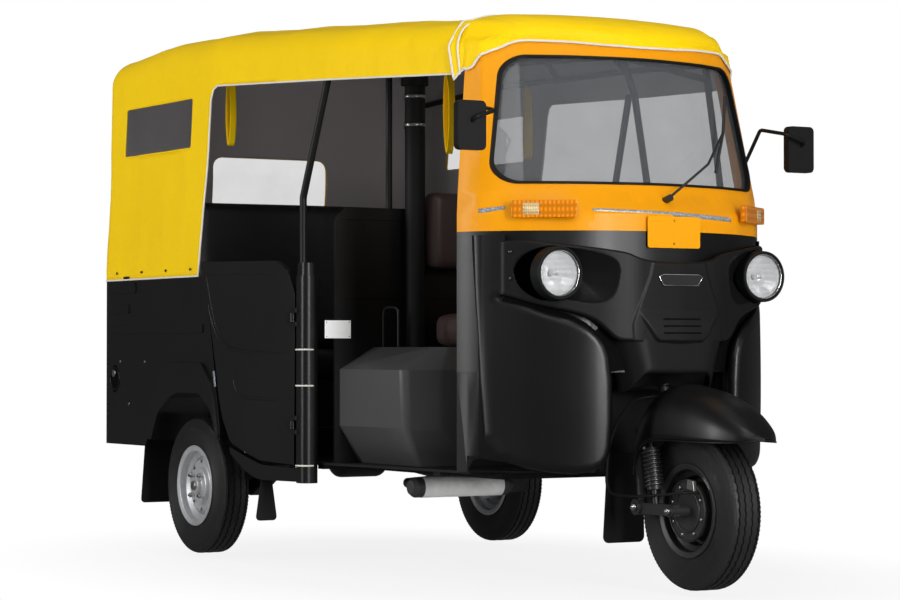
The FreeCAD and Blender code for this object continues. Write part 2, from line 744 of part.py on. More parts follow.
def canopy_form(name, inset):
    """The canopy's whole form: a roof loft met with its plan."""
    roof = new_body(name + "Roof")
    plans = []
    for y, half, side, crown in ((500, 492, 1738, 1758), (1214, 623, 1786, 1808),
                                 (size.taper_end, 697, 1828, 1845), (2300, 697, 1838, 1852),
                                 (2900, 697, 1806, 1826)):
        plans.append(outline(roof, "XZ", both([(inset - half, size.hem_low),
                                               (inset - half, side - 30 - inset, 80),
                                               (inset / 2 - half * 0.72, side + 12 - inset, 160),
                                               (0, crown - inset, 900)]), -y))
    loft(roof, plans, ruled=True)
    plan = new_body(name + "Plan")
    rear = size.rear_end - inset
    pad(plan, outline(plan, "XY", both([(-900, 480 - 3 * inset), (-900, 1500),
                                        (inset - size.tub_half, 1930),
                                        (inset - size.tub_half, rear, 70 - inset)]), 900), 1000)
    side = new_body(name + "Side")
    pad(side, outline(side, "YZ", [(300, 900), (rear, 900), (rear, 1000, 300), (rear - 44, 1400, 400),
                                   (rear - 56, 1720, 70),
                                   (rear - 170, 1900), (300, 1900)]), 1600, True)
    return boolean("MultiCommon", name, [roof, plan, side])


def canopy():
    shell = cut("CanopyShell", canopy_form("CanopyOuter", 0), canopy_form("CanopyInner", size.cloth))
    sides = new_body("SideOpenings")
    pad(sides, outline(sides, "YZ", [(400, 900), (size.quarter_front + 3, 900),
                                     (size.quarter_front, size.hem_low), (1922, 1590, 20),
                                     (1880, 1634, 10), (size.seam_place, size.valance_low - 30),
                                     (400, size.valance_low - 30)]), 1600, True)
    front = new_body("FrontTrim")
    pad(front, outline(front, "YZ", [(400, 1500), (size.seam_place, 1500), (size.seam_place + 40, 1760),
                                     (size.seam_place + 40, 1900), (400, 1900)]), 1600, True)
    windows = new_body("Windows")
    low, high = size.window_low, size.window_high
    pad(windows, outline(windows, "YZ", [(2083, low, 12), (2652, low, 12), (2636, high, 12),
                                         (2059, high, 12)]), 1600, True)
    back = new_body("BackWindow")
    b = size.back_window_half
    pad(back, outline(back, "XZ", [(-b, 1250, 40), (b, 1250, 40), (b, 1464, 40), (-b, 1464, 40)], -2900),
        200, True)
    holes = fuse("CanopyHoles", sides, front, windows, back)
    keep("canopy", cut("Canopy", shell, holes))
    panes = []
    grow = size.fit_gap
    for side in (-1, 1):
        pane = new_body("Pane")
        pad(pane, outline(pane, "YZ", [(2083 + grow, low + grow, 12), (2652 - grow, low + grow, 12),
                                       (2636 - grow, high - grow, 12), (2059 + grow, high - grow, 12)],
                          side * (size.tub_half - 2)), 2, True)
        panes.append(pane)
    pane = new_body("BackPane")
    pad(pane, outline(pane, "XZ", [(grow - b, 1250 + grow, 40), (b - grow, 1250 + grow, 40),
                                   (b - grow, 1464 - grow, 40), (grow - b, 1464 - grow, 40)],
                      -size.rear_end), 120)
    slice_of = cut("PaneShell", canopy_form("PaneOuter", 1.5), canopy_form("PaneInner", 3.5))
    panes.append(boolean("MultiCommon", "BackPane", [pane, slice_of]))
    keep("canopy_windows", fuse("Panes", *panes))


def hood():
    """The cloth hood over the windscreen, from its piped lower edge back to the canopy."""
    forms = []
    for name, inset in (("HoodOuter", 0), ("HoodInner", size.cloth)):
        body = new_body(name)
        plans = []
        for level, front, half, place, flange in ((1660, size.head_front - 12, 474, 499, (24, 100)),
                                                  (1715, size.head_front + 14, 462, 512, (28, 90)),
                                                  (1752, size.head_front + 120, 380, 560, (40, 50))):
            plans.append(outline(body, "XY", frame_plan(front, half, place, flange, inset, 0),
                                 level - inset))
        loft(body, plans, ruled=True)
        forms.append(body)
    trim = new_body("HoodTrim")
    seam = size.seam_place - size.fit_gap
    pad(trim, outline(trim, "YZ", [(seam, 1400), (seam, 1500), (seam + 40, 1760), (seam + 40, 1900),
                                   (800, 1900), (800, 1400)]), 1600, True)
    hood_shell = cut("HoodShell", *forms)
    keep("front_hood", cut("Hood", hood_shell, fuse("HoodTrims", trim, nodes_block["surround"])))


def roof_frame():
    paths = []
    for side in (-1, 1):
        paths.append([(side * 446, 560, 1560), (side * 446, 585, 1650), (side * 560, 1214, 1690),
                      (side * 640, 2173, 1720), (side * 640, 2790, 1690),
                      (side * 640, 2800, size.rear_floor + size.fit_gap)])
    paths += cabin_cage()
    for y, half, side, crown in ((700, 464, 1657, 1722), (1214, 556, 1690, 1760), (1700, 598, 1705, 1786),
                                 (2173, 636, 1720, 1800)):
        paths.append([(-half, y, side), (-half + 60, y, crown), (half - 60, y, crown), (half, y, side)])
    keep("roof_frame", tubes("RoofFrame", paths, 11, 30))


def hinge_spot(side):
    return side * (side_at(size.hinge_place) + size.hinge_out), size.hinge_place


def hinge_pins(side):
    """The door's two pins, each held by a pair of lugs on the post."""
    x, y = hinge_spot(side)
    pieces = []
    for high in (size.hinge_low, size.hinge_top):
        pieces.append(rod("HingePin", (x, y, high - 30), 60, 5))
        for low in (15.5, -30):
            pieces.append(box("HingeLug", (x - 9, size.post_place + 14, high + low),
                              (x + 9, y + 9, high + low + 14.5)))
    return pieces


def hinge_knuckles(side):
    """The sleeves on the door that turn on the pins, with the straps that hold them to its skin."""
    x, y = hinge_spot(side)
    pieces = []
    for high in (size.hinge_low, size.hinge_top):
        whole = fuse("HingeLeaf", rod("HingeSleeve", (x, y, high - 15), 30, 10),
                     box("HingeStrap", (x if side < 0 else x - 18, y + 4, high - 15),
                         (x + 18 if side < 0 else x, y + 56, high + 15)))
        pieces.append(cut("HingeHalf", whole, rod("HingeBore", (x, y, high - 16), 32, 5 + size.fit_gap)))
    return pieces


def posts():
    pieces = []
    for side in (-1, 1):
        body = new_body("Post", side * (side_at(size.post_place) - size.post_inset), size.post_place)
        r = size.post_radius
        pad(body, outline(body, "XY", [(-r, -r, 26), (r, -r, 26), (r, r, 12), (-r, r, 12)], size.post_low),
            size.cap_low - size.post_low)
        pad(body, outline(body, "XY", [(-r + 4, -r + 4, 22), (r - 4, -r + 4, 22), (r - 4, r - 4, 8),
                                       (-r + 4, r - 4, 8)], size.cap_low), size.cap_high - size.cap_low)
        pieces.append(body)
        base = box("PostFoot", (side * 606 - 20, size.post_place + 20, size.cap_low - 8),
                   (side * 606 + 20, size.post_place + 64, size.cap_high - 20))
        pieces.append(base)
        pieces += hinge_pins(side)
    keep("corner_posts", fuse("Posts", *pieces))
    paths = []
    for side in (-1, 1):
        paths.append([(side * 618, 1379, size.cap_high - 19.7), (side * 618, 1380, 1224),
                      (side * 598, 1243, 1612)])
    keep("side_tubes", tubes("Tubes", paths, 12))


def partition():
    """The wall behind the driver, with a framed panel pressed into it."""
    body = new_body("Partition")
    x = side_at(1280, 70)
    y = 1262
    pad(body, outline(body, "XZ", [(-x, size.floor_top + size.fit_gap),
                                   (x, size.floor_top + size.fit_gap), (x, 1150, 40),
                                   (x - 40, 1189, 30), (40 - x, 1189, 30), (-x, 1150, 40)], -y), 12,
        back=True)
    for low, high in ((925, 1150), (770, 890)):
        panel = outline(body, "XZ", [(-x + 30, low, 10), (x - 30, low, 10), (x - 30, high, 10),
                                     (-x + 30, high, 10)], -y + 1)
        pocket(body, panel, 5)
    keep("partition", body)


def cover_form(name, inset):
    body = new_body(name)
    rear = 1262 - size.fit_gap + inset * 2
    low = both([(inset - 470, rear), (inset - 480, 850 + inset, 20), (-300, 800 + inset, 60)])
    wide = both([(inset - 545, rear), (inset - 545, 840 + inset, 30), (-430, 800 + inset, 60)])
    top = both([(inset - 545, rear), (inset - 545, 850 + inset, 30), (-420, 812 + inset, 60)])
    seat = both([(inset - 415, rear), (inset - 415, 890 + inset, 20), (-370, 862 + inset, 30)])
    base = size.floor_top + size.fit_gap - inset
    levels = ((low, base), (wide, 470), (top, 655 - inset), (seat, 728 - inset))
    loft(body, [outline(body, "XY", points, level) for points, level in levels], ruled=True)
    return body


def engine_cover():
    shell = cut("CoverShell", cover_form("CoverOuter", 0), cover_form("CoverInner", 5))
    keep("engine_cover", shell)


def seats():
    """Cushions are plain here: the cloth pass gives them their soft forms."""
    def cushion(name, low, high, radius):
        body = new_body(name)
        (x0, y0, z0), (x1, y1, z1) = low, high
        pad(body, outline(body, "XY", [(x0, y0, radius), (x1, y0, radius), (x1, y1, radius),
                                       (x0, y1, radius)], z0), as_size(z1) - z0)
        keep(name, body)
    gap = size.fit_gap
    top = 728 + gap
    cushion("driver_seat_cushion", (-250, 880, top), (250, 1180, top + 112), 40)
    back = new_body("DriverBack")
    pad(back, outline(back, "YZ", [(1176, 985, 24), (1262 - gap, 985, 10), (1262 - gap, 1249, 30),
                                   (1196, 1249, 26)]), 490, True)
    keep("driver_seat_back", back)
    floor = size.rear_floor + gap
    bench = new_body("Bench")
    pad(bench, outline(bench, "YZ", [(1960, floor), (1960, 610), (2430, 610), (2430, 1180),
                                     (2436, 1180), (2436, floor), (2430, floor), (2430, 604),
                                     (1966, 604), (1966, floor)]), 930, True)
    keep("rear_seat_base", bench)
    cushion("rear_seat_cushion", (-580, 1930, 610 + gap), (580, 2330, 722), 30)
    rear = new_body("RearBack")
    pad(rear, outline(rear, "YZ", [(2334, 722 + gap, 20), (2430 - gap, 722 + gap, 10),
                                   (2430 - gap, 1265, 36), (2350, 1265, 30)]), 1160, True)
    keep("rear_seat_back", rear)


def wheel_arch_line():
    """The arch's opening, from its front foot over the wheel to its rear foot."""
    return [(1873, 409), (1899, 477), (1926, 518, 60), (2006, size.arch_open, 60),
            (2187, size.arch_open, 60), (2254, 548, 60), (2347, 496, 60), (2407, 393)]


def tub():
    outside = size.tub_half - size.cloth - size.fit_gap
    for word, side in (("right", -1), ("left", 1)):
        body = new_body("Side")
        points = wheel_arch_line() + [(2460, 395), (2475, size.tub_low, 20),
                                      (size.rear_end - 71, size.tub_low),
                                      (size.rear_end - 71, size.tub_high), (1984, size.tub_high),
                                      (1962, 935), (1935, 800), (1905, 674), (1886, 570), (1862, 430)]
        pad(body, outline(body, "YZ", points, side * (outside - size.panel / 2)), size.panel, True)
        for low, high, start in ((929, 966, 2560), (779, 809, 1990), (854, 888, 2620)):
            rib = outline(body, "YZ", [(start, low, 6), (2790, low, 6), (2790, high, 6), (start, high, 6)],
                          side * outside)
            pad(body, rib, 4, back=side < 0)
        flare = [(1873, 443), (1899, 546), (1926, 615, 40), (1990, size.arch_top, 30),
                 (2288, size.arch_top, 40), (2348, 655, 60), (2408, 538), (2442, 407)]
        pad(body, outline(body, "YZ", flare + [(2407, 393)] + wheel_arch_line()[::-1][1:], side * outside),
            10, back=side < 0)
        keep("tub_side_" + word, body)
    wells = []
    for side in (-1, 1):
        well = new_body("Well")
        outer = [(1868, 405), (1894, 490), (1922, 535, 60), (2002, 583, 60), (2190, 583, 60),
                 (2260, 565, 60), (2356, 510, 60), (2414, 398)]
        inner = [(2407, 393)] + wheel_arch_line()[::-1][1:]
        pad(well, outline(well, "YZ", outer + inner, side * 588.5), 197.4, True)
        wells.append(well)
    keep("wheel_arches", fuse("Arches", *wells))
    rear = new_body("Rear")
    half = outside - size.panel - size.fit_gap
    back = size.rear_end - size.cloth - size.fit_gap
    corner = 65
    start = size.rear_end - 71 + size.fit_gap
    sheet_line = [(-outside, start), (-outside, back, corner)]
    inner_line = [(size.panel - outside, start), (size.panel - outside, back - size.panel,
                                                  corner - size.panel)]
    pad(rear, outline(rear, "XY", both(sheet_line) + both(inner_line)[::-1], size.tub_low),
        size.tub_high - size.tub_low)
    for low, high in ((929, 966), (854, 888), (779, 809), (420, 480)):
        rib = outline(rear, "XZ", both([(70 - half, low, 6), (70 - half, high, 6)]), 1 - back)
        pad(rear, rib, 5, back=True)
    keep("tub_rear", rear)


def side_tilt():
    """The angle that the cabin's side makes with the middle plane."""
    run = (size.taper_end - size.nose_back).text
    rise = (size.tub_half - size.nose_half).text
    angle = math.degrees(math.atan2(size.tub_half.value - size.nose_half.value,
                                    size.taper_end.value - size.nose_back.value))
    return Size(angle, "atan(%s / %s)" % (rise, run))


def doors():
    """Each door is a pressed shell that hangs from the corner post and lies along the tapered side."""
    for word, side in (("right", -1), ("left", 1)):
        start = size.door_front
        body = new_body("Door", side * side_at(start), start)
        tilt = side_tilt()
        body.setExpression("Placement.Rotation.Yaw", (tilt * -side).text)
        gap = size.move_gap
        shape = [(1398, 338), (1606, 345, 200), (1706, 372, 120), (1802, 402, 60), (1850, 480, 60),
                 (1880, 570), (1899, 674), (1930, 800), (1960, 935), (2004, 1026, 10),
                 (1509, 1018, 120), (1442, 986, 60), (1393, 905, 20)]
        points = [(as_size(y) - start - gap * (1 if y > 1750 else 0), z) + tuple(rest) for y, z,
                  *rest in shape]
        skin = size.door_skin
        pad(body, outline(body, "YZ", points, -skin if side > 0 else 0), skin)
        hollow = [(30, 376), (206, 383, 200), (300, 408, 120), (386, 436, 50), (426, 500, 60),
                  (450, 590), (466, 684), (498, 800), (528, 935), (566, 990, 10), (118, 986, 120),
                  (66, 960, 60), (30, 900, 20)]
        pocket(body, outline(body, "YZ", hollow, -skin if side > 0 else skin), skin - 3, back=side > 0)
        step = [(54, 706), (350, 713, 300), (466, 754, 200), (510, 823, 60), (548, 935, 40), (560, 980, 10),
                (140, 974, 110), (84, 950, 60), (54, 880, 20)]
        rib = outline(body, "YZ", step, 0)
        pocket(body, rib, 1.6, back=side < 0)
        keep("door_" + word, fuse("DoorWhole", body, *hinge_knuckles(side)))


# Steering
def mudguard():
    """A beaked shell over the wheel, lofted through sections set fanwise about the wheel's axle."""
    body = new_body("Guard", 0, 0, size.wheel_radius)
    w = size.guard_half
    fan = ((33, 286, 392, 0.62), (46, 268, 396, 0.9), (62, 252, 390, 1), (85, 226, 382, 1),
           (108, 226, 378, 1), (132, 246, 366, 1), (157, 246, 340, 1))
    for skin, under in ((0, 0), (3, 12)):
        plans = []
        for turn, low, high, share in fan:
            half, top = w * share - skin, high - skin
            crown = both([(-half, low - under), (-half, top - 58, 30 * share),
                          (-half * 0.5, top - 5, 60 * share), (0, top, 160 * share)])
            plans.append(outline(body, "XZ", crown, tilt=90 - turn))
        loft(body, plans, cut=skin > 0)
    hole = rod("ForkHole", (0, size.neck_place - 14, 480), 200, size.column_radius + size.fit_gap)
    keep("front_mudguard", cut("GuardOpen", body, hole))


def steering():
    mudguard()
    x, r = -size.fork_place.value, size.column_radius.value
    neck, high = size.neck_place.value, size.neck_high.value
    fork = [bent_tube([(0, 325, 940), (0, neck - 14, high - 35), (0, neck - 14, 520), (x, 196, 445),
                       (x, 176, 244)], r, 30), Part.makeCylinder(24, 50, Vector(x - 30, 176, 244),
            Vector(1, 0, 0)), Part.makeCylinder(17, 30 - x - 36 - size.fit_gap.value,
                                                Vector(x - 30, 0, size.wheel_radius.value),
                                                Vector(1, 0, 0)),
            Part.makeCylinder(94, 8, Vector(-50, 0, size.wheel_radius.value), Vector(1, 0, 0)),
            Part.makeBox(22, 196, 34, Vector(x - 22, -14, 224)),
            Part.makeCylinder(23, 126, Vector(-95, 104, 299), Vector(0, 0.15, 1)),
            Part.makeCylinder(9, 240, Vector(-95, 98, 250), Vector(0, 0.15, 1)),
            Part.makeBox(22, 70, 18, Vector(-105, 124, 462))]
    fork.append(bent_tube([(-300, 450, 880), (-80, 328, 948), (80, 328, 948), (300, 450, 880)], 12, 30))
    keep("front_fork", shape_node("Fork", fork))
    hose = [(-16.4, 186, 577), (-62, 187, 577), (-100, 236, 560), (-128, 297, 450), (-128, 318, 325),
            (-126, 262, 276), (-125, 147, 276), (-113, -60, 296), (-50.3, -60, 296)]
    keep("brake_hose", tubes("Hose", [hose], 4.5, 26))
    flap = new_body("Flap", 0, 0, 0)
    pad(flap, outline(flap, "XZ", [(-108, 122, 20), (46, 122, 20), (40, 400, 10), (-90, 400, 10)],
                      size.fit_gap - size.well_back), 4)
    keep("front_mudflap", flap)


# Small pieces on the body
def head_tube():
    """The tube that carries the steering column, with its plate under the scuttle."""
    tube = rod("HeadTube", (0, size.neck_place - 22 * 0.40124, size.neck_high - 22), 150,
               size.column_radius + 11.7)
    bore = rod("HeadBore", (0, size.neck_place - 60 * 0.40124, size.neck_high - 60), 260,
               size.column_radius + size.fit_gap)
    for thing in (tube, bore):
        thing.Placement.Rotation = FreeCAD.Rotation(Vector(1, 0, 0), -size.rake.value)
    keep("head_tube", cut("Head", tube, bore))


def mirrors():
    backs, glasses, arms = [], [], []
    for side, low, root in ((-1, 1315, (478, 474, 1464)), (1, 1288, (512, 478, 1296))):
        x0, x1 = (-664, -566) if side < 0 else (570, 672)
        y = 330
        back = new_body("MirrorBack", 0, y, 0)
        pad(back, outline(back, "XZ", [(x0, low, 16), (x1, low, 16), (x1, low + 148, 16),
                                       (x0, low + 148, 16)]), 26)
        pocket(back, outline(back, "XZ", [(x0 + 5, low + 5, 12), (x1 - 5, low + 5, 12),
                                          (x1 - 5, low + 143, 12), (x0 + 5, low + 143, 12)], -1), 10,
               back=True)
        backs.append(back)
        glass = new_body("MirrorGlass", 0, y, 0)
        pad(glass, outline(glass, "XZ", [(x0 + 5.3, low + 5.3, 12), (x1 - 5.3, low + 5.3, 12),
                                         (x1 - 5.3, low + 142.7, 12), (x0 + 5.3, low + 142.7, 12)], 2), 3)
        glasses.append(glass)
        middle = (x0 + x1) / 2
        path = [(middle, y - 20, low + 84), (middle, y - 46, low + 96), (side * 544, y - 40, low + 120),
                (side * 530, 400, low + 140), (side * root[0], root[1], root[2])]
        arms.append(bent_tube(path, 6, 14))
    arm = shape_node("MirrorArms", arms)
    keep("mirrors", cut("Mirrors", fuse("MirrorsWhole", *backs, arm), nodes_block["surround"]))
    keep("mirror_glass", fuse("MirrorPanes", *glasses))


def wiper():
    pivot = Part.makeCylinder(11, 34, Vector(0, 186, 1174), Vector(0, -1, 0.25))
    arm = bent_tube([(0, 160, 1182), (150, 165, 1290), (286, 272, 1400)], 4, 20)
    blade = bent_tube([(238, 246, 1272), (286, 272, 1400), (331, 322, 1520)], 5, 60)
    keep("wiper", cut("Wiper", shape_node("WiperWhole", [pivot, arm, blade]), nodes_block["surround"]))


def air_intake():
    """The engine breathes through a tall pipe behind the driver."""
    pipe = bent_tube([(-281, 1220, 728.3), (-281, 1220, 780), (-281, 1225, 1640)], 33, 20)
    cap = Part.makeCylinder(46, 60, Vector(-281, 1225, 1600))
    bands = [Part.makeCylinder(35, 22, Vector(-281, 1225, z)) for z in (1456, 1551)]
    keep("air_intake", shape_node("Intake", [pipe, cap] + bands))


def silencer():
    body = new_body("Silencer", -300, 900, 280.7)
    revolve(body, outline(body, "XY", [(-186, 0), (-186, 22, 4), (-170, 33, 10), (170, 33, 10),
                                       (186, 22, 4), (186, 0)]))
    pipe = tubes("ExhaustPipe", [[(-126, 900, 280.7), (-100, 900, 280.7), (-92, 1120, 279),
                                  (-150, 1300, 280), (-150, 1500, 262)]], 17, 40)
    keep("silencer", fuse("Exhaust", body, pipe))


def side_sills():
    sills = []
    for side in (-1, 1):
        start = size.door_front
        sill = new_body("Sill", side * (side_at(start) - 6), start)
        sill.setExpression("Placement.Rotation.Yaw", (side_tilt() * -side).text)
        pad(sill, outline(sill, "YZ", [(-27.6, 282), (236, 280, 200), (324, 310, 100), (414, 366),
                                       (414, 386), (312, 356, 120), (212, 331, 200), (-27.6, 326)],
                          -22 if side > 0 else 0), 22)
        sills.append(sill)
    keep("side_sills", fuse("Sills", *sills))


def cabin_cage():
    """Bars inside the cab: the stay in the middle of the windscreen and the cross bars."""
    stay = [(0, 268, 1190), (0, 345, 1511), (0, 415, 1640)]
    paths = [[(-446, 574, 1600), (0, 430, 1640), (446, 574, 1600)], stay]
    for side in (-1, 1):
        paths.append([(side * 516, 530, 1094), (side * 488, 530, 1094), (side * 455, 545, 1400),
                      (side * 446, 585, 1650)])
    for side in (-1, 1):
        paths.append([(-281 + side * 64, 1285.3, 1100), (-281 + side * 64, 1285.3, 1745)])
    return paths


def grab_straps():
    straps = []
    for side in (-1, 1):
        for y, x, low, high in ((1929, 614, 1429, 1701), (700, 458, 1331, 1645.8)):
            strap = new_body("Strap", side * x, y)
            pad(strap, outline(strap, "XZ", [(-24, low, 4), (24, low, 4), (22, high), (-22, high)], -2), 4)
            straps.append(strap)
    keep("grab_straps", fuse("Straps", *straps))


def tail_lamps():
    lamps_made = []
    for side in (-1, 1):
        lamp = new_body("TailLamp", side * 560, size.rear_end - size.cloth, 560)
        pad(lamp, outline(lamp, "XZ", [(-60, 0, 10), (60, 0, 10), (60, 110, 10), (-60, 110, 10)], -26), 26 -
            size.fit_gap)
        lamps_made.append(lamp)
    keep("tail_lamps", fuse("TailLamps", *lamps_made))


def mudflaps():
    flaps = []
    for x, half, y, low, top in ((-608, 76, 2530, 160, 437.7), (608, 76, 2530, 160, 437.7),
                                 (-634, 40, 1618, 142, 280.6)):
        flap = new_body("RearFlap", x, y)
        pad(flap, outline(flap, "XZ", [(-half, low, 14), (half, low, 14), (half - 20, top),
                                       (20 - half, top)]), 5)
        flaps.append(flap)
    keep("rear_mudflaps", fuse("Flaps", *flaps))


wheels()
frame()
floor()
running_gear()
front_cowl()
headlamp_mask()
lamps()
cab_surround()
canopy()
hood()
roof_frame()
posts()
partition()
engine_cover()
seats()
tub()
doors()
steering()
head_tube()
mirrors()
wiper()
air_intake()
silencer()
side_sills()
grab_straps()
tail_lamps()
mudflaps()
document.recompute()

for thing in document.Objects:
    if "Invalid" in thing.State or "Error" in thing.State:
        raise RuntimeError("not built: %s %s" % (thing.Name, thing.Label))
for name, thing in sorted(nodes.items()):
    shape = thing.Shape
    if shape.isNull() or not shape.isValid() or not shape.Solids:
        raise RuntimeError("bad shape: " + name)
for name, thing in sorted(nodes.items()):
    thing.Shape.exportStep("parts/%s.step" % name)
print("%d parts are written" % len(nodes))
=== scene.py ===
import bpy, bmesh, math
from mathutils import Matrix, Vector, noise
from mathutils.bvhtree import BVHTree


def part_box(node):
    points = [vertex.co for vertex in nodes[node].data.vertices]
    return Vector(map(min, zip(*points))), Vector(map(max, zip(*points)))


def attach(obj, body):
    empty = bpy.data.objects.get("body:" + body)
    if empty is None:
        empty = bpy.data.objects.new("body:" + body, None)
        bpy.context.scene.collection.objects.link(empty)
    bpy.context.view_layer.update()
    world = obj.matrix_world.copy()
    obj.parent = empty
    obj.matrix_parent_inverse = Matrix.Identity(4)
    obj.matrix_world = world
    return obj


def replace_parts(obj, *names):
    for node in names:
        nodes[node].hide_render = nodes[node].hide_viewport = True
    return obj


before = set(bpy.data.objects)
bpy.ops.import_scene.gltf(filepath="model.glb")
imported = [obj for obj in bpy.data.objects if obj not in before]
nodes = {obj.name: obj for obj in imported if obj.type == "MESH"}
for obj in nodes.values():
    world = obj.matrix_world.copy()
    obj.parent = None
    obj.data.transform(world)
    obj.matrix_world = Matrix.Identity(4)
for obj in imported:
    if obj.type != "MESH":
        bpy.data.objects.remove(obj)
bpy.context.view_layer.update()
axlePlace = -1288  # the front axle's place along the vehicle, in millimetres
bothSides = ((-1, "Right"), (1, "Left"))


def spot(x, y, z):
    # millimetres across, back from the front axle and up, as the shared frame's metres
    return Vector((x, y + axlePlace, z)) / 1000


# Camera, light and floor
cameraValues = {"place": (-4.798, -7.875, 0.718), "toward": (0.5118, 0.859, 0.0185), "lens": 108.4}
lightValues = {
    "key": {"place": (-4.2, -4.6, 4.6), "size": (2.4, 2.4), "power": 30},
    "over": {"place": (-1.3, -2.7, 4.6), "size": (1.0, 1.6), "power": 20},
    "strip": {"place": (-0.6, -7.6, 2.2), "size": (1.2, 4.0), "power": 300},
    "front": {"place": (3.4, -5.6, 2.2), "size": (1.2, 2.6), "power": 12},
    "side": {"place": (-7.4, 1.6, 2.2), "size": (1.2, 3.6), "power": 190},
    "top": {"place": (0.2, 0.3, 5.5), "size": (3.0, 3.0), "power": 8}}
worldValues = {"fill": 0.39, "mirrored": 0.07, "floorColour": (0.95, 0.95, 0.95, 1), "floorPlace": -0.0172,
               "fadeFrom": 0.85, "fadeTo": 1.5, "least": 0.86, "floorMirrored": 0.10, "aim": (0, -0.1, 0.8)}

camera = bpy.data.objects.new("camera", bpy.data.cameras.new("camera"))
camera.location = cameraValues["place"]
camera.rotation_euler = Vector(cameraValues["toward"]).to_track_quat("-Z", "Y").to_euler()
camera.data.lens = cameraValues["lens"]
camera.data.clip_end = 200
bpy.context.scene.collection.objects.link(camera)
bpy.context.scene.camera = camera
bpy.context.scene.view_settings.view_transform = "Standard"


# Shader sums: a socket that can be added, multiplied and so on
class Value:
    def __init__(self, recipe, socket):
        self.recipe, self.socket = recipe, socket

    def sum(self, operation, first, second):
        return self.recipe.maths(operation, first, second)

    def __add__(self, other):
        return self.sum("ADD", self, other)

    def __radd__(self, other):
        return self.sum("ADD", other, self)

    def __sub__(self, other):
        return self.sum("SUBTRACT", self, other)

    def __rsub__(self, other):
        return self.sum("SUBTRACT", other, self)

    def __mul__(self, other):
        return self.sum("MULTIPLY", self, other)

    def __rmul__(self, other):
        return self.sum("MULTIPLY", other, self)

    def __truediv__(self, other):
        return self.sum("DIVIDE", self, other)

    def __gt__(self, other):
        return self.sum("GREATER_THAN", self, other)

    def __lt__(self, other):
        return self.sum("LESS_THAN", self, other)


class Recipe:
    # the nodes of one material, or of the world
    def __init__(self, name, kind="materials", output="ShaderNodeOutputMaterial"):
        self.owner = getattr(bpy.data, kind).new(name)
        self.owner.use_nodes = True
        self.tree, self.output = self.owner.node_tree, output
        self.tree.nodes.clear()

    def node(self, kind, settings, inputs, out=0):
        made = self.tree.nodes.new(kind)
        for name, value in settings.items():
            if name == "stops":
                while len(made.color_ramp.elements) < len(value):
                    made.color_ramp.elements.new(0.5)
                for element, (place, level) in zip(made.color_ramp.elements, value):
                    element.position, element.color = place, (level, level, level, 1)
            else:
                setattr(made, name, value)
        for name, value in inputs.items():
            if isinstance(value, Value):
                self.tree.links.new(value.socket, made.inputs[name])
            else:
                made.inputs[name].default_value = value
        return Value(self, made.outputs[out])

    def maths(self, operation, *values):
        return self.node("ShaderNodeMath", {"operation": operation}, dict(enumerate(values)))

    def place(self, scale=(1, 1, 1), shift=(0, 0, 0), turn=(0, 0, 0)):
        coordinates = self.node("ShaderNodeTexCoord", {}, {}, "Object")
        inputs = {"Vector": coordinates, "Scale": scale, "Location": shift, "Rotation": turn}
        return self.node("ShaderNodeMapping", {}, inputs)

    def split(self, vector):
        made = self.node("ShaderNodeSeparateXYZ", {}, {0: vector})
        return [Value(self, made.socket.node.outputs[i]) for i in range(3)]

    def noise(self, vector, scale, detail=3, rough=0.5):
        inputs = {"Vector": vector, "Scale": scale, "Detail": detail, "Roughness": rough}
        return self.node("ShaderNodeTexNoise", {}, inputs)

    def wave(self, vector, direction, scale, distortion=0):
        inputs = {"Vector": vector, "Scale": scale, "Distortion": distortion}
        return self.node("ShaderNodeTexWave", {"bands_direction": direction}, inputs)

    def cells(self, vector, feature, scale):
        return self.node("ShaderNodeTexVoronoi", {"feature": feature}, {"Vector": vector, "Scale": scale})

    def ramp(self, value, stops):
        return self.node("ShaderNodeValToRGB", {"stops": stops}, {"Fac": value})

    def mix(self, share, first, second):
        return self.node("ShaderNodeMix", {"data_type": "RGBA"}, {0: share, 6: first, 7: second}, 2)

    def bump(self, height, strength, distance, before=None):
        inputs = {"Height": height, "Strength": strength, "Distance": distance}
        if before:
            inputs["Normal"] = before
        return self.node("ShaderNodeBump", {}, inputs)

    def rays(self):
        # whether a ray comes straight or through glass from the camera, and whether it is mirrored
        outputs = self.node("ShaderNodeLightPath", {}, {}).socket.node.outputs
        kinds = ("Camera", "Transmission", "Glossy")
        seen, through, glossy = [Value(self, outputs["Is %s Ray" % kind]) for kind in kinds]
        return seen + through, glossy

    def finish(self, inputs):
        self.connect(self.node("ShaderNodeBsdfPrincipled", {}, inputs))
        return self.owner

    def connect(self, surface):
        output = self.tree.nodes.new(self.output)
        self.tree.links.new(surface.socket, output.inputs["Surface"])


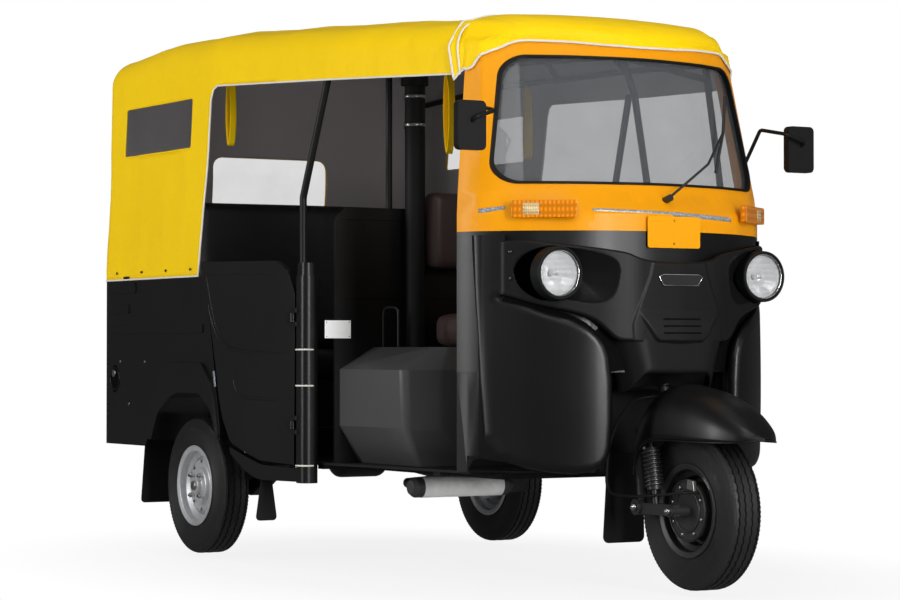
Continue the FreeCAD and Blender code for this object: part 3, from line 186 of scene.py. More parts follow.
# Finishes. Colours are linear, and patterns are in cycles per metre
# paint: colour, shade, roughness, coat, grain, the grain's depth, mirrored share
paintValues = {
    "orangePaint": ((0.80, 0.315, 0.002, 1), (0.77, 0.298, 0.002, 1), 0.34, 0.05, 900, 0.02, 0.14),
    "blackPaint": ((0.0028, 0.0029, 0.0030, 1), (0.0040, 0.0041, 0.0042, 1), 0.36, 0, 700, 0.03, 0.5),
    "blackPlastic": ((0.0045, 0.005, 0.005, 1), (0.0065, 0.007, 0.007, 1), 0.42, 0, 1500, 0.05, 0.3),
    "greyPlastic": ((0.006, 0.006, 0.0062, 1), (0.0085, 0.0085, 0.0087, 1), 0.44, 0, 1900, 0.16, 0.24),
    "coverPlastic": ((0.058, 0.0583, 0.0587, 1), (0.068, 0.068, 0.0685, 1), 0.42, 0, 1200, 0.12, 0.6),
    "rubber": ((0.0045, 0.0045, 0.0045, 1), (0.007, 0.007, 0.007, 1), 0.62, 0, 1400, 0.15, 0.3),
    "wheelBlack": ((0.014, 0.014, 0.015, 1), (0.022, 0.021, 0.021, 1), 0.42, 0.1, 900, 0.05, 0.5),
    "innerPaint": ((0.005, 0.005, 0.0055, 1), (0.008, 0.008, 0.008, 1), 0.45, 0, 500, 0.06, 0.35),
    "badgeDark": ((0.006, 0.006, 0.0065, 1), (0.009, 0.009, 0.0095, 1), 0.3, 0.3, 900, 0.03, 0.4),
    # near black as painted shade: the lip slots, the gap by the leg shields, behind the lamps and the filler
    # opening
    "deepBlack": ((0.0015, 0.0015, 0.0015, 1), (0.002, 0.002, 0.002, 1), 0.8, 0, 500, 0.05, 0.1),
    "whiteEnamel": ((1.0, 1.0, 1.0, 1), (0.97, 0.97, 0.97, 1), 0.4, 0.1, 900, 0.03, 0.3),
    "bulbGlass": ((0.70, 0.70, 0.68, 1), (0.55, 0.55, 0.53, 1), 0.12, 0.8, 900, 0.01, 0.6),
    "platePaint": ((0.80, 0.33, 0.002, 1), (0.78, 0.32, 0.002, 1), 0.4, 0.02, 900, 0.02, 0.12)}
# metal: colour, roughness, metallic share, streaks
metalValues = {
    "silverRim": ((0.66, 0.67, 0.69, 1), 0.38, 0.6, 120), "steel": ((0.50, 0.49, 0.47, 1), 0.3, 1, 240),
    "chrome": ((0.86, 0.87, 0.88, 1), 0.07, 1, 60), "bandSilver": ((0.85, 0.85, 0.84, 1), 0.35, 0.1, 200),
    "dishSilver": ((0.95, 0.95, 0.95, 1), 0.2, 0.55, 60),
    "springSteel": ((0.13, 0.13, 0.135, 1), 0.3, 0.9, 300),
    "castMetal": ((0.10, 0.10, 0.105, 1), 0.55, 0.75, 320),
    "mirrorFace": ((0.75, 0.77, 0.78, 1), 0.03, 1, 30)}
# cloth: colour, shade, threads, roughness, folds, the folds' depth, sheen
clothValues = {
    "yellowCloth": ((0.92, 0.61, 0.0, 1), (0.86, 0.56, 0.0, 1), 900, 0.56, 5.5, 0.012, 0),
    # the lining is set far lighter than its charcoal cloth: painted light for the shaded inside of the canopy
    "darkLining": ((0.52, 0.48, 0.485, 1), (0.56, 0.52, 0.53, 1), 700, 0.5, 4.5, 0.008, 0.05),
    # white cloth binding, also used as the painted highlight of the post rings
    "whiteBinding": ((0.74, 0.72, 0.66, 1), (0.60, 0.58, 0.53, 1), 1400, 0.7, 12, 0.001, 0.1)}
# seat cover: colour, shade, grain, roughness
coverValues = {
    "maroonCover": ((0.060, 0.036, 0.034, 1), (0.044, 0.027, 0.026, 1), 260, 0.42),
    "blackCover": ((0.006, 0.006, 0.0065, 1), (0.010, 0.010, 0.011, 1), 260, 0.45)}
# glass: tint, roughness, how much it hides
glassValues = {"screenGlass": ((0.125, 0.132, 0.142, 1), 0.05, 0.44),
               "smokedFilm": ((0.12, 0.12, 0.125, 1), 0.12, 0.16)}
# lens: colour, ribs, how much it hides
lensValues = {"lampGlass": ((0.92, 0.94, 0.96, 1), 38, 0.22), "amberLens": ((1.0, 0.30, 0.004, 1), 30, 0.98),
              "clearAmber": ((1.0, 0.72, 0.34, 1), 60, 0.96), "redLens": ((0.55, 0.012, 0.010, 1), 26, 0.96)}
# a tyre's place in millimetres: across and back from the front axle
tyrePlaces = {"frontTyre": (0, 0), "rearRightTyre": (-607, 2127), "rearLeftTyre": (607, 2127)}
wheelValues = {"height": 239, "radius": 0.256}


def dimmed(colour, share):
    return tuple(c * share for c in colour[:3]) + (1,)


def makePaint(name, colour, shade, rough, coat, grain, depth, specular):
    recipe = Recipe(name)
    place = recipe.place()
    cloud = recipe.noise(place, 2.6, 4)
    wear = recipe.noise(place, 34, 5, 0.65)
    return recipe.finish({
        "Base Color": recipe.mix(recipe.ramp(cloud, ((0.35, 0), (0.7, 1))), colour, shade),
        "Roughness": rough - 0.05 + cloud * 0.07 + wear * 0.05, "Coat Weight": coat, "Coat Roughness": 0.22,
        "Normal": recipe.bump(recipe.noise(place, grain, 2), depth, 0.0006), "Specular IOR Level": specular})


def makeMetal(name, colour, rough, metallic, streak):
    recipe = Recipe(name)
    place = recipe.place()
    spread = recipe.noise(place, streak, 3)
    stain = recipe.ramp(recipe.noise(place, 14, 5, 0.6), ((0.42, 0), (0.75, 1)))
    return recipe.finish({
        "Base Color": recipe.mix(stain, colour, dimmed(colour, 0.72)), "Metallic": metallic,
        "Roughness": rough - 0.03 + spread * 0.09 + stain * 0.05,
        "Normal": recipe.bump(spread, 0.06, 0.0004)})


def makeCloth(name, colour, shade, threads, rough, folds, foldDepth, sheen):
    # coated cloth: a fine weave, soft wide folds and slightly uneven dye
    recipe = Recipe(name)
    place = recipe.place()
    across = recipe.wave(place, "DIAGONAL", threads / 20, 0.3)
    fine = recipe.noise(place, threads, 2)
    fold = recipe.noise(recipe.place(scale=(1.0, 1.5, 0.45)), folds, 4)
    crease = recipe.noise(recipe.place(scale=(1.6, 0.7, 1.2), turn=(0.5, 0.3, 0.9)), folds * 2.6, 3, 0.45)
    dye = recipe.noise(place, 1.9, 5, 0.6)
    weave = recipe.bump(across * 0.5 + fine * 0.5, 0.18, 0.0006)
    return recipe.finish({
        "Base Color": recipe.mix(recipe.ramp(dye, ((0.3, 0), (0.75, 1))), colour, shade),
        "Roughness": rough - 0.06 + dye * 0.12,
        "Normal": recipe.bump(fold + crease * 0.35, 0.55, foldDepth, weave),
        "Sheen Weight": sheen, "Sheen Roughness": 0.5, "Specular IOR Level": 0.14})


def makeCover(name, colour, shade, grain, rough):
    # seat covering with a pebbled grain
    recipe = Recipe(name)
    place = recipe.place()
    cloud = recipe.noise(place, 7, 4)
    pucker = recipe.bump(recipe.noise(recipe.place(scale=(0.6, 1.4, 1)), 18, 3), 0.35, 0.006)
    return recipe.finish({
        "Base Color": recipe.mix(cloud, colour, shade), "Roughness": rough - 0.06 + cloud * 0.14,
        "Normal": recipe.bump(recipe.cells(place, "F1", grain), 0.22, 0.0008, pucker),
        "Specular IOR Level": 0.45})


def makeGlass(name, tint, rough, alpha):
    # thin safety glass: mostly clear, with a patchy film of dust
    recipe = Recipe(name)
    dust = recipe.ramp(recipe.noise(recipe.place(), 6, 5, 0.65), ((0.3, 0), (0.85, 1)))
    return recipe.finish({
        "Base Color": recipe.mix(dust, tint, dimmed(tint, 0.9)), "Roughness": rough + dust * 0.03,
        "Alpha": alpha + dust * 0.05, "Coat Weight": 0.6, "Coat Roughness": 0.03, "Specular IOR Level": 0.7})


def makeLens(name, colour, ribs, alpha):
    # moulded lens with upright ribs inside
    recipe = Recipe(name)
    place = recipe.place()
    rib, row = recipe.wave(place, "X", ribs), recipe.wave(place, "Z", ribs * 0.5)
    return recipe.finish({
        "Base Color": recipe.mix(rib * row, dimmed(colour, 0.55), colour), "Roughness": 0.1 + rib * 0.05,
        "Alpha": alpha, "Normal": recipe.bump(rib + row * 0.4, 0.5, 0.002), "Coat Weight": 0.8,
        "Coat Roughness": 0.04})


def makeTyre(name, across, back):
    # tread ribs are cut in the mesh; this gives the sipes, the shoulder lugs and the fine rings of the wall
    recipe = Recipe(name)
    radius = wheelValues["radius"]
    place = recipe.place(shift=tuple(-c for c in spot(across, back, wheelValues["height"])))
    across, along, up = recipe.split(place)
    distance = recipe.maths("SQRT", along * along + up * up)
    turn, side = recipe.maths("ARCTAN2", up, along), recipe.maths("ABSOLUTE", across)
    lug = recipe.maths("SINE", turn * 66 + side * 420)
    tread = distance > (radius - 0.016)
    ring = recipe.maths("SINE", distance * 1900)
    band = (distance > (radius - 0.075)) * (distance < (radius - 0.045))
    cut = recipe.ramp(lug * 0.5 + 0.5, ((0.12, 0), (0.24, 1)))
    grain = recipe.noise(place, 1200, 2)
    height = cut * tread + (ring * 0.12 + 0.88 + grain * 0.1) * (1 - tread) + band * 0.3
    dirt = recipe.ramp(recipe.noise(place, 22, 5, 0.6), ((0.35, 0), (0.8, 1)))
    colour = recipe.mix(dirt * 0.8 + tread * 0.2, (0.011, 0.011, 0.011, 1), (0.019, 0.0185, 0.018, 1))
    return recipe.finish({"Base Color": colour, "Roughness": 0.44 + dirt * 0.1,
                          "Normal": recipe.bump(height, 0.9, 0.004), "Specular IOR Level": 0.5})


def makeStrip(name):
    # retroreflective tape: small honeycomb cells in grey and white
    recipe = Recipe(name)
    mark = recipe.ramp(recipe.cells(recipe.place(), "DISTANCE_TO_EDGE", 90), ((0.08, 0), (0.2, 1)))
    return recipe.finish({
        "Base Color": recipe.mix(mark, (0.24, 0.27, 0.30, 1), (0.42, 0.47, 0.52, 1)),
        "Roughness": 0.3 + mark * 0.1, "Metallic": 0.2, "Coat Weight": 0.2})


made = {}
for make, looks in ((makePaint, paintValues), (makeMetal, metalValues), (makeCloth, clothValues),
                    (makeCover, coverValues), (makeGlass, glassValues), (makeLens, lensValues),
                    (makeStrip, {"reflectiveTape": ()}), (makeTyre, tyrePlaces)):
    for name, look in looks.items():
        made[name] = make(name, *look)

# which finish each node of the solid model takes
nodeFinishes = {
    "orangePaint": ["cab_surround"],
    "platePaint": ["front_plate"],
    "blackPaint": ["front_cowl", "door_left", "door_right", "tub_side_left", "tub_side_right", "tub_rear",
                   "partition", "corner_posts", "side_sills", "front_mudguard"],
    "greyPlastic": ["headlamp_mask", "mirrors"],
    "coverPlastic": ["engine_cover"],
    "rubber": ["windscreen_seal", "front_mudflap", "rear_mudflaps", "brake_hose", "air_intake"],
    "innerPaint": ["chassis_frame", "floor_pan", "rear_axle", "roof_frame", "side_tubes", "head_tube",
                   "wheel_arches", "rear_seat_base"],
    "wheelBlack": ["front_rim", "front_fork", "wiper"],
    "castMetal": ["engine_block", "silencer"],
    "silverRim": ["rear_left_rim", "rear_right_rim"],
    "blackPlastic": ["headlamp_bowls"],
    "mirrorFace": ["mirror_glass"],
    "screenGlass": ["windscreen_glass"],
    "smokedFilm": ["canopy_windows"],
    "lampGlass": ["headlamp_lenses"],
    "amberLens": ["front_indicators"],
    "redLens": ["tail_lamps"],
    "yellowCloth": ["canopy", "front_hood", "grab_straps"],
    "maroonCover": ["driver_seat_cushion", "driver_seat_back"],
    "blackCover": ["rear_seat_cushion", "rear_seat_back"],
    "frontTyre": ["front_tyre"], "rearRightTyre": ["rear_right_tyre"], "rearLeftTyre": ["rear_left_tyre"]}
for finishName, names in nodeFinishes.items():
    for name in names:
        nodes[name].data.materials.clear()
        nodes[name].data.materials.append(made[finishName])
print("finishes are on", sum(len(names) for names in nodeFinishes.values()), "nodes of the solid model")


# Sums and lines
def clamp(value):
    return min(max(value, 0), 1)


def smoothStep(value, low, high):
    share = clamp((value - low) / (high - low))
    return share * share * (3 - 2 * share)


def between(items, i, t):
    # a point of the smooth curve through the items, part of the way from one to the next
    before, here = items[max(i - 1, 0)], items[i]
    ahead, after = items[i + 1], items[min(i + 2, len(items) - 1)]
    return 0.5 * (2 * here + (ahead - before) * t + (2 * before - 5 * here + 4 * ahead - after) * t * t
                  + (3 * here - before - 3 * ahead + after) * t * t * t)


def smoothLine(points, share):
    # a point on a smooth line through the given ones; share runs from 0 to 1 along it
    lengths = [0]
    for first, second in zip(points, points[1:]):
        lengths.append(lengths[-1] + (second - first).length)
    want = share * lengths[-1]
    i = 0
    while i < len(points) - 2 and lengths[i + 1] < want:
        i += 1
    return between(points, i, (want - lengths[i]) / max(lengths[i + 1] - lengths[i], 1e-9))


def distanceTo(first, second, x, z):
    # how far a place lies from the stretch between two others
    dx, dz = second[0] - first[0], second[1] - first[1]
    share = clamp(((x - first[0]) * dx + (z - first[1]) * dz) / (dx * dx + dz * dz))
    return math.hypot(x - first[0] - share * dx, z - first[1] - share * dz)


def reachInside(outline, x, z):
    # how far a place lies inside a closed outline; less than nought outside it
    nearest, inside = 1e9, False
    for first, second in zip(outline, outline[1:] + outline[:1]):
        nearest = min(nearest, distanceTo(first, second, x, z))
        if (first[1] > z) != (second[1] > z):
            share = (z - first[1]) / (second[1] - first[1])
            if x < first[0] + (second[0] - first[0]) * share:
                inside = not inside
    return nearest if inside else -nearest


# Piece helpers
def addPiece(name, mesh, finish, body="chassis", smooth=True):
    piece = bpy.data.objects.new(name, mesh)
    bpy.context.scene.collection.objects.link(piece)
    mesh.materials.append(made[finish])
    if smooth:
        mesh.shade_smooth()
    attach(piece, body)
    return piece


def meshOf(bm, name):
    mesh = bpy.data.meshes.new(name)
    bm.to_mesh(mesh)
    bm.free()
    return mesh


def applyModifiers(piece):
    # the finished mesh takes the place of the one under its modifiers
    graph = bpy.context.evaluated_depsgraph_get()
    mesh = bpy.data.meshes.new_from_object(piece.evaluated_get(graph))
    piece.modifiers.clear()
    piece.data = mesh


def addModifier(piece, kind, **settings):
    modifier = piece.modifiers.new(kind.lower(), kind)
    for name, value in settings.items():
        setattr(modifier, name, value)
    return modifier

def lineCurve(name, points, radius, rings=3, kind="POLY", caps=True):
    # a round line through points in metres
    curve = bpy.data.curves.new(name, "CURVE")
    curve.dimensions = "3D"
    curve.bevel_depth, curve.bevel_resolution, curve.use_fill_caps = radius, rings, caps
    spline = curve.splines.new(kind)
    spline.points.add(len(points) - 1)
    for item, point in zip(spline.points, points):
        item.co = (*point, 1)
    return curve, spline


def meshOfCurve(curve):
    holder = bpy.data.objects.new("holder", curve)
    bpy.context.scene.collection.objects.link(holder)
    graph = bpy.context.evaluated_depsgraph_get()
    mesh = bpy.data.meshes.new_from_object(holder.evaluated_get(graph))
    bpy.data.objects.remove(holder)
    mesh.materials.clear()
    return mesh


def addTube(name, points, radius, finish, body="chassis", closed=False, rings=3):
    # a round bead, bar or piping along points in metres
    curve, spline = lineCurve(name, points, radius, rings)
    spline.use_cyclic_u = closed
    return addPiece(name, meshOfCurve(curve), finish, body)


def lookToward(bm, way):
    # makes the faces of an open sheet look mostly one way
    bmesh.ops.recalc_face_normals(bm, faces=bm.faces[:])
    if sum(f.normal.dot(Vector(way)) for f in bm.faces) < 0:
        bmesh.ops.reverse_faces(bm, faces=bm.faces[:])


def sheetOf(rows):
    # a sheet from rows of points in metres
    bm = bmesh.new()
    lines = [[bm.verts.new(point) for point in row] for row in rows]
    for first, second in zip(lines, lines[1:]):
        for i in range(len(first) - 1):
            bm.faces.new((first[i], first[i + 1], second[i + 1], second[i]))
    return bm


def addCuts(bm, axis, cuts):
    # divides the sides of a cube along one axis
    along = [e for e in bm.edges if abs((e.verts[0].co - e.verts[1].co)[axis]) > 0.5]
    bmesh.ops.subdivide_edges(bm, edges=along, cuts=cuts, use_grid_fill=True)


def spinRound(bm, axis, steps):
    # turns an outline once round an axis through the origin
    bmesh.ops.spin(bm, geom=bm.verts[:] + bm.edges[:], axis=axis, cent=(0, 0, 0), steps=steps,
                   angle=2 * math.pi, use_merge=True)
    bmesh.ops.remove_doubles(bm, verts=bm.verts[:], dist=1e-6)


# Canopy
canopyValues = {
    "stations": ((500, 492, 1738, 1758), (1214, 623, 1786, 1808), (1925, 697, 1828, 1845),
                 (2300, 697, 1838, 1852), (2900, 697, 1806, 1826)),
    "half": 697, "top": 1800, "front": 545, "rear": 2884, "hem": 978, "corner": 78, "grid": 21,
    "level": 0.72, "rise": 12, "drop": 42, "sag": 5, "ripple": 2.2, "cloth": 0.0034, "piping": 0.0032,
    "bows": (590, 1000, 1460, 1922, 2420, 2860), "seam": (0, 552, 1500), "seamLean": (0, -260, 40),
    "opening": ((300, 850), (2024, 850), (2024, 985), (1922, 1590), (1906, 1622), (1880, 1634), (300, 1558)),
    "sideWindow": ((2083, 1430), (2652, 1607), 12, 20), "rearWindow": ((-248, 1250), (248, 1464), 40)}


def betweenStations(y):
    # half width, eave height and crown height at a length
    stations = canopyValues["stations"]
    for first, second in zip(stations, stations[1:]):
        if y <= second[0]:
            break
    share = clamp((y - first[0]) / (second[0] - first[0]))
    return [a + (b - a) * share for a, b in zip(first[1:], second[1:])]


def canopyPoint(x, y, z):
    # a point of a plain box, laid over the canopy's real form
    v = canopyValues
    half, corner, level = v["half"], v["corner"], v["level"]
    near = Vector((min(max(x, corner - half), half - corner), min(y, v["rear"] - corner),
                   min(z, v["top"] - corner)))
    away = Vector((x, y, z)) - near
    if away.length > 0:
        near += away.normalized() * corner
    x, y, z = near
    wide, eave, crown = betweenStations(y)
    share = abs(x) / half
    if share < level:
        roof = crown - (crown - eave - v["rise"]) * (share / level) ** 2
    else:
        roof = eave + v["rise"] - v["drop"] * (share - level) / (1 - level)
    upper = smoothStep(z, 1400, 1780)
    z += (roof - v["top"]) * upper
    lean = 44 * smoothStep(z, 1000, 1400) + 12 * smoothStep(z, 1400, 1720)
    y -= lean * smoothStep(y, 2500, v["rear"])
    x *= wide / half
    # the cloth hangs between the bows under it, and is drawn into small ripples
    slack = 0
    for first, second in zip(v["bows"], v["bows"][1:]):
        if first <= y <= second:
            slack = math.sin(math.pi * (y - first) / (second - first)) ** 2
    z -= v["sag"] * slack * upper * (1 - 0.5 * share)
    side = 1 - upper
    wave = noise.noise(Vector((x * 0.0016, y * 0.010, z * 0.0022)))
    fine = noise.noise(Vector((x * 0.008, y * 0.006, z * 0.012)))
    pull = (wave * 1.6 + fine * 0.5 - 0.6) * v["ripple"]
    if share > 0.9:
        x -= math.copysign(max(-pull, 0) * side * 1.5 + 1, x)
    if y > v["rear"] - 80:
        y += min(pull, 0) * side - 1
    z += min(pull, 0) * 0.6 * upper
    return spot(x, y, z)


def cutOutline(bm, outline, axis):
    # cuts the sheet along a convex outline seen along the axis, x or y, and takes out what lies inside it
    def seen(point):
        return Vector((point.y if axis == "x" else point.x, point.z))
    corners = [Vector((a / 1000, b / 1000)) for a, b in outline]
    low = Vector((min(c.x for c in corners) - 0.03, min(c.y for c in corners) - 0.03))
    high = Vector((max(c.x for c in corners) + 0.03, max(c.y for c in corners) + 0.03))
    facing = (lambda f: abs(f.normal.x) > 0.5) if axis == "x" else (lambda f: f.normal.y > 0.5)
    for first, second in zip(corners, corners[1:] + corners[:1]):
        near = [f for f in bm.faces if facing(f) and all(
            low.x <= seen(v.co).x <= high.x and low.y <= seen(v.co).y <= high.y for v in f.verts)]
        parts = list(dict.fromkeys([e for f in near for e in f.edges] + [v for f in near for v in f.verts]))
        run = second - first
        where = Vector((0, first.x, first.y)) if axis == "x" else Vector((first.x, 0, first.y))
        across = Vector((0, run.y, -run.x)) if axis == "x" else Vector((run.y, 0, -run.x))
        bmesh.ops.bisect_plane(bm, geom=parts + near, plane_co=where, plane_no=across.normalized(), dist=1e-5)
    gone = [f for f in bm.faces if facing(f) and reachInside(corners, *seen(f.calc_center_median())) > 0]
    bmesh.ops.delete(bm, geom=gone, context="FACES")


def roundedOutline(low, high, radius, lean=0):
    # a four-sided outline with its corners cut round
    corners = []
    for (x, y), start in (((low[0], low[1]), 180), ((high[0], low[1]), 270), ((high[0], high[1]), 0),
                          ((low[0], high[1]), 90)):
        heart = (x + (radius if start in (180, 90) else -radius),
                 y + (radius if start in (180, 270) else -radius))
        for step in range(5):
            angle = math.radians(start + step * 22.5)
            spotOn = (heart[0] + radius * math.cos(angle), heart[1] + radius * math.sin(angle))
            corners.append((spotOn[0] - lean * (spotOn[1] - low[1]) / (high[1] - low[1]), spotOn[1]))
    return corners


def edgeLines(bm):
    # the open borders of a sheet, each as a run of points that ends where it starts
    loose = {e for e in bm.edges if e.is_boundary}
    lines = []
    for edge in bm.edges:
        if edge not in loose:
            continue
        loose.discard(edge)
        run = list(edge.verts)
        onward = True
        while onward:
            onward = next((e for e in run[-1].link_edges if e in loose), None)
            if onward:
                loose.discard(onward)
                run.append(onward.other_vert(run[-1]))
        lines.append([v.co.copy() for v in run])
    return lines


def addCloth(name, bm, node):
    # a piece of lined cloth; gives the piece, its area and its borders
    lines = edgeLines(bm)
    area = sum(f.calc_area() for f in bm.faces)
    piece = addPiece(name, meshOf(bm, name), "yellowCloth")
    # the inside takes the lining, lightened as painted light for the shaded underside
    piece.data.materials.append(made["darkLining"])
    addModifier(piece, "SOLIDIFY", thickness=canopyValues["cloth"], offset=-1, material_offset=1)
    applyModifiers(piece)
    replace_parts(piece, node)
    return piece, area, lines


def makeCanopy():
    v = canopyValues
    bm = bmesh.new()
    bmesh.ops.create_cube(bm, size=2)
    gone = [f for f in bm.faces if f.normal.z < -0.5 or f.normal.y < -0.5]
    bmesh.ops.delete(bm, geom=gone, context="FACES")
    spans = (2 * v["half"], v["rear"] - v["front"], v["top"] - v["hem"])
    for axis, span in enumerate(spans):
        addCuts(bm, axis, round(span / v["grid"]))
    for vert in bm.verts:
        x, y, z = vert.co
        back, up = v["front"] + (y + 1) / 2 * spans[1], v["hem"] + (z + 1) / 2 * spans[2]
        vert.co = canopyPoint(x * v["half"], back, up)
    lookToward(bm, (0, 0, 1))
    bmesh.ops.bisect_plane(bm, geom=bm.verts[:] + bm.edges[:] + bm.faces[:], plane_co=spot(*v["seam"]),
                           plane_no=v["seamLean"], dist=1e-6, clear_outer=True)
    for outline in (v["opening"], roundedOutline(*v["sideWindow"])):
        cutOutline(bm, [(y + axlePlace, z) for y, z in outline], "x")
    cutOutline(bm, roundedOutline(*v["rearWindow"]), "y")
    piece, area, lines = addCloth("canopyCloth", bm, "canopy")
    for number, line in enumerate(lines):
        # the long border is bound in white, and the windows in the cloth's own colour
        finish = "whiteBinding" if len(line) > 150 else "yellowCloth"
        name = "canopyBinding%d" % number
        addTube(name, line[:-1], v["piping"], finish, closed=True, rings=2)
    print("canopy:", len(piece.data.polygons), "faces,", round(area, 2), "square metres of cloth")


makeCanopy()


# Hood over the windscreen
hoodValues = {
    "lower": ((-492, 537, 1579), (-483, 512, 1587), (-465, 492, 1616), (-422, 452, 1642), (-372, 417, 1664),
              (-263, 360, 1666), (-141, 322, 1663), (0, 308, 1657), (141, 322, 1663), (263, 360, 1666),
              (372, 417, 1664), (422, 452, 1642), (465, 492, 1616), (483, 512, 1587), (492, 537, 1579)),
    "across": 96, "along": 22, "over": 0.0055, "lap": 17, "clear": 0.0065, "reach": 0.03,
    "heart": (0, 700, 1450), "crown": 640, "sides": (1600, 1640, 1680, 1720, 1750), "piping": 0.0038}


def seamPlace(z):
    # how far back the hood's seam lies at a height, a little over the canopy's leaning front edge
    return 552 + (z - 1500) * 40 / 260 + hoodValues["lap"]


trees = {}

def treeFrom(mesh):
    # the faces of a mesh, ready for straight lines to meet them
    bm = bmesh.new()
    bm.from_mesh(mesh)
    tree = BVHTree.FromBMesh(bm)
    bm.free()
    return tree


def treeOf(name):
    if name not in trees:
        trees[name] = treeFrom(nodes[name].data)
    return trees[name]


def laidOn(name, place, v):
    # a point of the hood, kept clear of a node's outside, and near it at the hem
    away = (place - spot(*hoodValues["heart"])).normalized()
    hit = treeOf(name).ray_cast(place + away * 0.2, -away)
    if hit[0] is None:
        return place
    lift = (place - hit[0]).dot(away)
    clear = hoodValues["clear"]
    if lift < clear:
        return hit[0] + away * clear
    if lift < hoodValues["reach"]:
        hold = 1 - smoothStep(v, 0.02, 0.3)
        return place + away * (clear - lift) * hold
    return place


def makeHood():
    values = hoodValues
    low = [spot(*p) for p in values["lower"]]
    half, top = canopyValues["half"], canopyValues["top"]
    seam = []
    for step in range(41):
        x = 2 * half * (step / 40 - 0.5)
        if abs(x) < values["crown"]:
            seam.append(canopyPoint(x, seamPlace(top + 12), top) + Vector((0, 0, values["over"])))
    outward = Vector((values["over"], 0, 0))
    flanks = [canopyPoint(-half, seamPlace(z), z) - outward for z in values["sides"]]
    seam = flanks + seam + [Vector((-p.x, p.y, p.z)) for p in reversed(flanks)]
    bm = bmesh.new()
    bmesh.ops.create_grid(bm, x_segments=values["across"], y_segments=values["along"], size=1)
    for vert in bm.verts:
        u, v = (vert.co.x + 1) / 2, (vert.co.y + 1) / 2
        first, last = smoothLine(low, u), smoothLine(seam, u)
        gap = last - first
        rise = max(gap.z, 0.01)
        middle = smoothStep(0.5 - abs(u - 0.5), 0.0, 0.16)
        one = first + Vector((gap.x * 0.05, -0.006 * middle, rise * 0.72))
        two = first + Vector((gap.x * 0.35, gap.y * 0.42, rise * (0.98 + 0.06 * middle)))
        keepers = (1 - v) ** 3, 3 * v * (1 - v) ** 2, 3 * v * v * (1 - v), v ** 3
        place = first * keepers[0] + one * keepers[1] + two * keepers[2] + last * keepers[3]
        ripple = noise.noise(Vector((place.x * 9, place.y * 5, place.z * 11))) * 0.0016
        ripple *= math.sin(math.pi * v)
        vert.co = laidOn("cab_surround", place + Vector((0, -ripple, ripple)), v)
    lookToward(bm, (0, 0, 1))
    piece, area, lines = addCloth("hoodCloth", bm, "front_hood")
    trims = [addTube("hoodBinding", lines[0][:-1], values["piping"], "whiteBinding", closed=True, rings=2)]
    area / 1.4 * 1.3
    print("hood:", round(area, 3), "square metres of cloth")


makeHood()


# Grab straps of folded cloth: place across and back, foot and top
strapValues = {"spots": ((614, 1929, 1429, 1701), (458, 700, 1331, 1645.8)), "half": 16, "cloth": 0.0016,
               "loop": 11, "turn": -22}


def strapPoint(side, place, across, share):
    # the band runs down, turns at the foot of the loop and comes up again
    x, y, low, high = place
    turn = (share - 0.5) * 2
    depth = abs(turn)
    swell = math.copysign(strapValues["loop"] * math.sin(math.pi * min(depth * 1.15, 1)) ** 0.7, turn)
    wide = across * strapValues["half"] * (1 - 0.10 * smoothStep(depth, 0.8, 1))
    angle = math.radians(strapValues["turn"] * (1 - smoothStep(depth, 0.6, 1)))
    out = x + wide * math.cos(angle) - swell * math.sin(angle)
    back = y + 2 + wide * math.sin(angle) + swell * math.cos(angle)
    return spot(side * out, back, low + (high - low) * depth ** 1.04 + 3)


def makeStraps():
    for number, place in enumerate(strapValues["spots"]):
        for side, word in bothSides[:2 - number]:
            bm = bmesh.new()
            bmesh.ops.create_grid(bm, x_segments=8, y_segments=48, size=1)
            for vert in bm.verts:
                vert.co = strapPoint(side, place, vert.co.x, (vert.co.y + 1) / 2)
            name = "strap%s%d" % (word, number)
            bmesh.ops.recalc_face_normals(bm, faces=bm.faces[:])
            area = sum(f.calc_area() for f in bm.faces)
            piece = addPiece(name, meshOf(bm, name), "yellowCloth")
            addModifier(piece, "SOLIDIFY", thickness=strapValues["cloth"], offset=0)
            applyModifiers(piece)
            if name == "strapRight0":
                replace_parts(piece, "grab_straps")
            area / 0.032 * 1.02


makeStraps()


# Seat cushions, swelled by a short cloth run
cushionValues = {
    "driverSeat": {"node": "driver_seat_cushion", "finish": "maroonCover", "channels": ()},
    "driverBack": {"node": "driver_seat_back", "finish": "maroonCover", "channels": ()},
    "rearSeat": {"node": "rear_seat_cushion", "finish": "blackCover", "channels": (-0.34, 0, 0.34)},
    "rearBack": {"node": "rear_seat_back", "finish": "blackCover", "channels": (-0.34, 0, 0.34)}}


def makeCushion(name, look):
    low, high = [Vector(c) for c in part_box(look["node"])]
    middle, half = (low + high) / 2, (high - low) / 2
    bm = bmesh.new()
    bmesh.ops.create_cube(bm, size=2)
    for axis in range(3):
        addCuts(bm, axis, max(6, round(half[axis] * 2 / 0.022)))
    swell = 0.9 * min(half)
    for vert in bm.verts:
        p = Vector(tuple(vert.co[i] * half[i] for i in range(3)))
        inner = Vector(tuple(min(max(p[i], swell * 0.62 - half[i]), half[i] - swell * 0.62) for i in range(3)))
        away = p - inner
        if away.length:
            p = inner + away.normalized() * swell * 0.62
        # crowned in the middle of each face, drawn in between the corners
        for axis in range(3):
            others = [i for i in range(3) if i != axis]
            bulge = math.prod(max(1 - (p[i] / half[i]) ** 2, 0) for i in others) ** 0.4
            p[axis] *= 0.90 + 0.095 * bulge if half[axis] < 0.1 else 0.965 + 0.033 * bulge
        vert.co = middle + p
    bmesh.ops.recalc_face_normals(bm, faces=bm.faces[:])
    piece = addPiece(name, meshOf(bm, name), look["finish"])
    simulateCushion(piece)
    addSeams(piece, look["channels"], low, high)
    addModifier(piece, "SUBSURF", levels=1, render_levels=1)
    applyModifiers(piece)
    piece.data.shade_smooth()
    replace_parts(piece, look["node"])
    print(name, len(piece.data.polygons), "faces")


